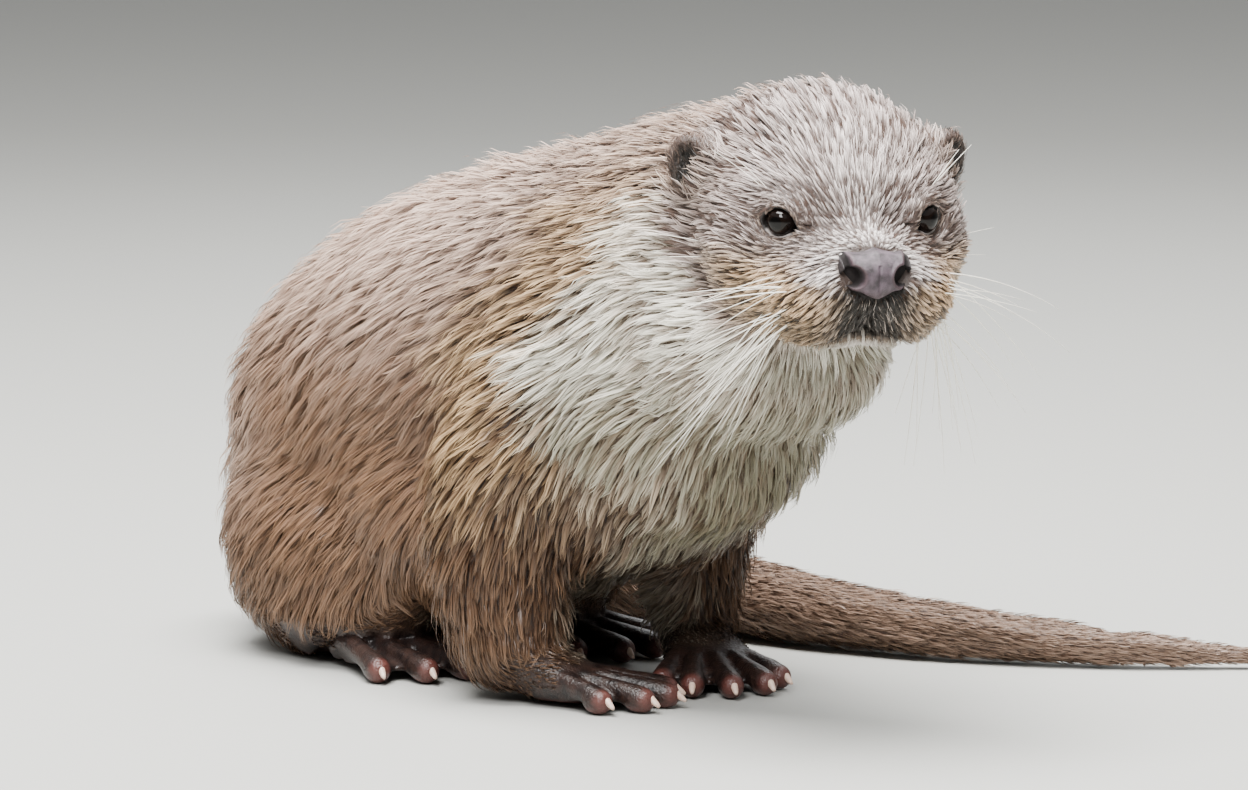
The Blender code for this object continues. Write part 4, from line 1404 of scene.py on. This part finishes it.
noseShape = {    # in millimetres
    # half of the outline, from the peak at the top round to the point below, aside and up
    "outline": ((0, 9.4), (3.2, 8.3), (7.0, 7.6), (11.0, 7.9), (13.2, 6.4), (14.1, 3.2), (13.9, -0.4),
                (12.6, -3.8), (9.6, -6.3), (6.2, -6.7), (3.2, -8.4), (0, -9.7)),
    "nostril": ((9.7, -0.6), 3.9),              # middle and radius
    "slit": ((10.9, 1.2), (12.2, 6.6), 1.35),   # its ends and half its width
    "proud": 1.4,        # how far the pad's edge stands ahead of its place
    "dome": 3.4,
    "ridge": 0.9,        # down the middle, with a fine groove in it
    "groove": 0.5,
    "sidesBack": 2.4,
    "lip": 0.7,          # round each nostril
    "nostrilDeep": 5.2,
    "slitDeep": 3.6,
    "edgeDown": 2.5,
    "rings": 44,
    "around": 160,
}
noseLook = {
    "skin": ("#1f171b", "#564952"),
    "warm": "#4a3337",       # where blood shows, round the nostrils and low on the pad
    "edge": "#1c1416",
    # near black inside the nostrils: their dark skin with painted shade of their depth
    "hole": "#0d0505",
    "roughness": (0.50, 0.95),    # of the pad, and matt inside the nostrils
    "blotch": 3.846,         # mm across, the uneven colour of the pad
    "cobble": 0.4762,        # mm across, as the real ones are
    "relief": 0.3,           # mm
}


def nosePadSkin():    # wet mauve-grey skin, cobbled with papillae under half a millimetre across
    made, tree, shader = newMaterial("nosePadSkin")
    place = addNode(tree, "TexCoord", "Object")
    blotch = addNode(tree, "TexNoise", "Fac", Scale=1000 / noseLook["blotch"], Detail=4.0, Vector=place)
    blotch = addNode(tree, "MapRange", i0=blotch, i1=0.34, i2=0.66)
    colour = overlaid(tree, linear(noseLook["skin"][0]), (
        (blotch, noseLook["skin"][1]), ("warm", noseLook["warm"]), ("edge", noseLook["edge"]),
        ("hole", noseLook["hole"])))
    tree.links.new(colour, shader.inputs["Base Color"])
    hole = addNode(tree, "Attribute", "Fac", {"attribute_name": "hole"})
    wet, matt = noseLook["roughness"]
    tree.links.new(addNode(tree, "MapRange", i0=hole, i3=wet, i4=matt), shader.inputs["Roughness"])
    cobbles = addNode(tree, "TexVoronoi", "Distance", {"feature": "DISTANCE_TO_EDGE"},
                      Scale=1000 / noseLook["cobble"], Vector=place)
    bump = addNode(tree, "Bump", Strength=0.8, Distance=noseLook["relief"] / 1000, Height=cobbles)
    tree.links.new(bump, shader.inputs["Normal"])
    return made


def fromCapsule(places, start, end):    # distance from the line between two points
    span = np.array(end) - np.array(start)
    t = np.clip((places - start) @ span / (span @ span), 0, 1)
    return np.linalg.norm(places - start - t[:, None] * span, axis=1)


def ringFaces(count, rings):    # a fan round the first point, and quads between the rings of points round it
    faces = [(0, 1 + i, 1 + (i + 1) % count) for i in range(count)]
    for k in range(rings - 1):
        a, b = 1 + k * count, 1 + (k + 1) * count
        faces += [(a + i, b + i, b + (i + 1) % count, a + (i + 1) % count) for i in range(count)]
    return faces


def makeNosePad():
    half = np.array(noseShape["outline"], float)
    loop = np.concatenate([half, (half * (-1, 1))[-2:0:-1]])
    loop = np.concatenate([loop, loop[:1]])
    walked = np.concatenate([[0], np.cumsum(np.linalg.norm(np.diff(loop, axis=0), axis=1))])
    at = np.linspace(0, walked[-1], noseShape["around"], endpoint=False)
    rim = np.stack([np.interp(at, walked, loop[:, 0]), np.interp(at, walked, loop[:, 1])], axis=1)
    for _ in range(2):    # rounds its corners
        rim = (np.roll(rim, 1, axis=0) + 2 * rim + np.roll(rim, -1, axis=0)) / 4
    rings = np.linspace(0, 1, noseShape["rings"] + 1)[1:] ** 0.8
    flat = np.concatenate([[[0.0, 0.0]]] + [rim * r for r in rings])
    share = np.concatenate([[0.0]] + [np.full(len(rim), r) for r in rings])
    aside = np.abs(flat[:, 0])
    folded = np.stack([aside, flat[:, 1]], axis=1)
    (centre, radius), (slitStart, slitEnd, slitHalf) = noseShape["nostril"], noseShape["slit"]
    hole = np.linalg.norm((folded - centre) * (1.0, 0.95), axis=1) - radius
    slit = fromCapsule(folded, np.array(slitStart), slitEnd) - slitHalf
    gap = np.minimum(hole, slit)
    depth = noseShape["dome"] * (1 - share ** 3.2) ** 0.5
    depth += noseShape["ridge"] * bell(flat[:, 0], 5.5) * (1 - share ** 4)
    depth -= noseShape["sidesBack"] * (aside / 14) ** 2 + 0.045 * np.maximum(0, flat[:, 1]) ** 2
    depth += noseShape["lip"] * bell(gap - 0.9, 0.9) * ease(1.0, 0.85, share)
    depth -= noseShape["groove"] * bell(flat[:, 0], 0.5) * (flat[:, 1] < 4)
    depth -= np.maximum(noseShape["nostrilDeep"] * ease(0.35, -1.0, hole),
                        noseShape["slitDeep"] * ease(0.3, -0.8, slit))
    depth -= noseShape["edgeDown"] * ease(0.93, 1.0, share)
    ahead = nose["middle"][0] + (noseShape["proud"] + depth) / 1000
    local = np.stack([ahead, flat[:, 0] / 1000, nose["middle"][2] + flat[:, 1] / 1000], axis=1)
    made = meshObject("nosePad", fromHead(local), ringFaces(len(rim), len(rings)))
    warm = 0.5 * bell(gap - 0.5, 0.7) * ease(11.5, 10, aside) + 0.4 * ease(-4, -9, flat[:, 1])
    # the inside of the nostrils, painted near black as the shade of their depth
    giveAttribute(made.data, "hole", np.maximum(ease(0.5, -0.5, hole), ease(0.2, -0.5, slit)))
    giveAttribute(made.data, "warm", warm)
    giveAttribute(made.data, "edge", ease(10.5, 12.0, aside) * ease(-3.5, -1.5, flat[:, 1]))
    made.data.materials.append(nosePadSkin())
    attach(made, "root")
    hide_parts("nose_pad")


makeNosePad()
print("nose pad set")


# Claws, smoothed along their own run

clawMake = {
    "plump": 1.25,           # thickness, against that of the solids
    "knots": 6,              # places along a claw where its line and thickness are read
    "rings": 14,
    "sides": 12,
    "dark": "#b98f80",
    "light": "#ecd8c6",
    "roughness": 0.34,
    "streak": 1.4286,        # mm, real growth lines are a third of it, too fine to show
    "through": 0.2,          # share of light that passes into the horn
    "reach": (0.0012, 0.0007, 0.0005),    # and how far in, for red, green and blue
}


def clawHorn():    # translucent cream-pink horn, streaked along its growth, with a worn gloss
    made, tree, shader = newMaterial("clawHorn")
    place = addNode(tree, "TexCoord", "Object")
    streak = addNode(tree, "TexNoise", "Fac", Scale=1000 / clawMake["streak"], Detail=3.0, Vector=place)
    colour = overlaid(tree, linear(clawMake["dark"]), ((streak, clawMake["light"]),))
    tree.links.new(colour, shader.inputs["Base Color"])
    shader.inputs["Roughness"].default_value = clawMake["roughness"]
    shader.inputs["Subsurface Weight"].default_value = clawMake["through"]
    shader.inputs["Subsurface Radius"].default_value = clawMake["reach"]
    return made


def makeClaws():
    horn = clawHorn()
    for node in [name for name in solids if name.startswith("claw")]:
        turn = np.array(solids[node].matrix_world.to_3x3())
        places = points(solids[node].data) @ turn.T + np.array(solids[node].matrix_world.translation)
        _, _, axes = np.linalg.svd(places - places.mean(axis=0), full_matrices=False)
        run = (places - places.mean(axis=0)) @ axes[0]
        knots = []
        for t in np.linspace(0.06, 0.94, clawMake["knots"]):
            near = bell(run - (run.min() + t * (run.max() - run.min())), 0.22 * np.ptp(run))
            spot = (places * near[:, None]).sum(axis=0) / near.sum()
            away = places - spot - np.outer((places - spot) @ axes[0], axes[0])
            thick = np.sqrt(((away ** 2).sum(axis=1) * near).sum() / near.sum()) * clawMake["plump"]
            knots.append((*spot, thick, thick))
        shape = bmesh.new()
        addTube(shape, through(np.array(knots), clawMake["rings"]), clawMake["sides"])
        made = finished(shape, f"horn_{node}")
        made.data.materials.append(horn)
        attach(made, "root")
        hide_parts(node)


makeClaws()
print("claws set")


# Whiskers and brow hairs

whiskerMake = {
    "each": 26,                        # on each side
    "thick": (0.00027, 0.00006),       # radius at the root and the tip
    # from the first to the last along the pad: ahead of the eyes, and below them
    "ahead": (0.025, -0.029, 0.004),   # start, span and scatter
    "below": (-0.0220, -0.0150, 0.0026),
    "fall": {1: (2, 96), -1: (12, 60)},      # degrees below level at the first, and more at the last
    "longest": {1: 0.068, -1: 0.078},
    "shortest": 0.038,
    "sides": 6,
    "steps": 14,
    # long hairs over the eye and on the cheek: ahead, up, rise and length
    "brow": ((-0.004, 0.013, 0.9, 0.020), (-0.008, 0.012, 0.7, 0.024),
             (-0.040, -0.014, 0.15, 0.026), (-0.036, -0.018, 0.0, 0.022)),
    "browThick": 0.00014,
    "colour": "#f7f2e6",
    "roughness": 0.3,
}


def whiskerHorn():    # stiff pale bristle with a clear gloss, paler and thicker than the hair round it
    made, _, shader = newMaterial("whiskerHorn")
    shader.inputs["Base Color"].default_value = linear(whiskerMake["colour"])
    shader.inputs["Roughness"].default_value = whiskerMake["roughness"]
    return made


def addWhisker(shape, root, way, droop, length, thick):
    last = None
    side = np.cross(way, (0, 0, 1))
    side /= np.linalg.norm(side)
    over = np.cross(side, way)
    for k in range(whiskerMake["steps"] + 1):
        t = k / whiskerMake["steps"]
        spot = root + way * length * t + droop * length * t * t
        radius = thick + (whiskerMake["thick"][1] - thick) * t ** 1.7
        ring = [shape.verts.new(spot + radius * (side * math.cos(a) + over * math.sin(a)))
                for a in np.linspace(0, 2 * math.pi, whiskerMake["sides"], endpoint=False)]
        if last:
            for i in range(len(ring)):
                j = (i + 1) % len(ring)
                shape.faces.new((last[i], last[j], ring[j], ring[i]))
        else:
            shape.faces.new(ring[::-1])
        last = ring
    shape.faces.new(last)


def makeWhiskers(surface):
    shape = bmesh.new()
    for side in (1, -1):
        for k in range(whiskerMake["each"]):
            t = (k + rng.uniform(-0.4, 0.4)) / (whiskerMake["each"] - 1)
            x, z = (start + span * t + rng.normal(0, scatter)
                    for start, span, scatter in (whiskerMake["ahead"], whiskerMake["below"]))
            root, _ = surface.onto(fromHead(np.array([[x, side * 0.026, z]])))
            level, more = whiskerMake["fall"][side]
            fall = math.radians((level + more * t) + rng.normal(0, 7))
            back = rng.uniform(0.20, 0.60)
            way = headVector(unit(np.array([-back, side * math.cos(fall), -math.sin(fall)])))
            droop = headVector(np.array([-0.14, 0.0, -rng.uniform(0.10, 0.26)]))
            length = rng.uniform(whiskerMake["shortest"], whiskerMake["longest"][side])
            length = length * (1 - 0.25 * abs(t - 0.4))    # the longest grow from the middle of the pad
            addWhisker(shape, root[0], way, droop, length, whiskerMake["thick"][0] * rng.uniform(0.55, 1.0))
        for x, z, rise, length in whiskerMake["brow"]:
            root, _ = surface.onto(fromHead(np.array([[x, side * 0.034, z]])))
            way = headVector(unit(np.array([-0.35, side * 0.8, rise])))
            droop = headVector(np.array([-0.15, 0, -0.1]))
            addWhisker(shape, root[0], way, droop, length, whiskerMake["browThick"])
    made = finished(shape, "whiskers")
    made.data.materials.append(whiskerHorn())
    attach(made, "root")


makeWhiskers(surface)
print("whiskers set")


# Floor and light

studio = {
    "floor": "#a2a29e",
    "floorRadius": 8.0,
    "sweep": 3.6,            # radius of the curve up into the wall
    "wallTop": (11.7, 5.8),  # how far out and how high the wall ends
    # place, size in metres, watts and tint
    "softboxAbove": ((-0.35, -0.10, 2.2), 1.5, 262, (1.0, 0.99, 0.97)),
    "softboxFront": ((-1.9, -1.6, 2.2), 1.2, 134, (1.0, 1.0, 1.0)),
    "softboxBehind": ((1.1, 1.4, 1.5), 1.2, 16, (0.95, 0.98, 1.0)),
    "aim": (-0.05, 0.0, 0.12),
    "sky": (0.93, 0.94, 0.95, 1.0),
    "skyStrength": 0.74,
}


def palePaper():    # matt pale paper, which takes soft shadows without a gloss
    made, _, shader = newMaterial("palePaper")
    shader.inputs["Base Color"].default_value = linear(studio["floor"])
    shader.inputs["Roughness"].default_value = 0.85
    return made


def makeStage():    # a round floor whose edge sweeps up into a pale wall
    flat, sweep, count = studio["floorRadius"], studio["sweep"], 96
    profile = [(flat, 0.0)]
    for t in np.linspace(0.1, 1.5, 15):
        profile.append((flat + sweep * math.sin(t), sweep - sweep * math.cos(t)))
    profile.append(studio["wallTop"])
    places = [(0, 0, 0)] + [(r * math.cos(a), r * math.sin(a), z) for r, z in profile
                            for a in np.linspace(0, 2 * math.pi, count, endpoint=False)]
    floor = meshObject("floor", places, ringFaces(count, len(profile)))
    floor.data.materials.append(palePaper())
    for name in ("softboxAbove", "softboxFront", "softboxBehind"):
        data = bpy.data.lights.new(name, "AREA")
        place, data.size, data.energy, data.color = studio[name]
        lamp = placed(name, data)
        lamp.location = place
        aim = Vector(studio["aim"]) - Vector(place)
        lamp.rotation_euler = aim.to_track_quat("-Z", "Y").to_euler()
    world = bpy.data.worlds.new("world")
    bpy.context.scene.world = world
    world.use_nodes = True
    world.node_tree.nodes["Background"].inputs["Color"].default_value = studio["sky"]
    world.node_tree.nodes["Background"].inputs["Strength"].default_value = studio["skyStrength"]


makeStage()
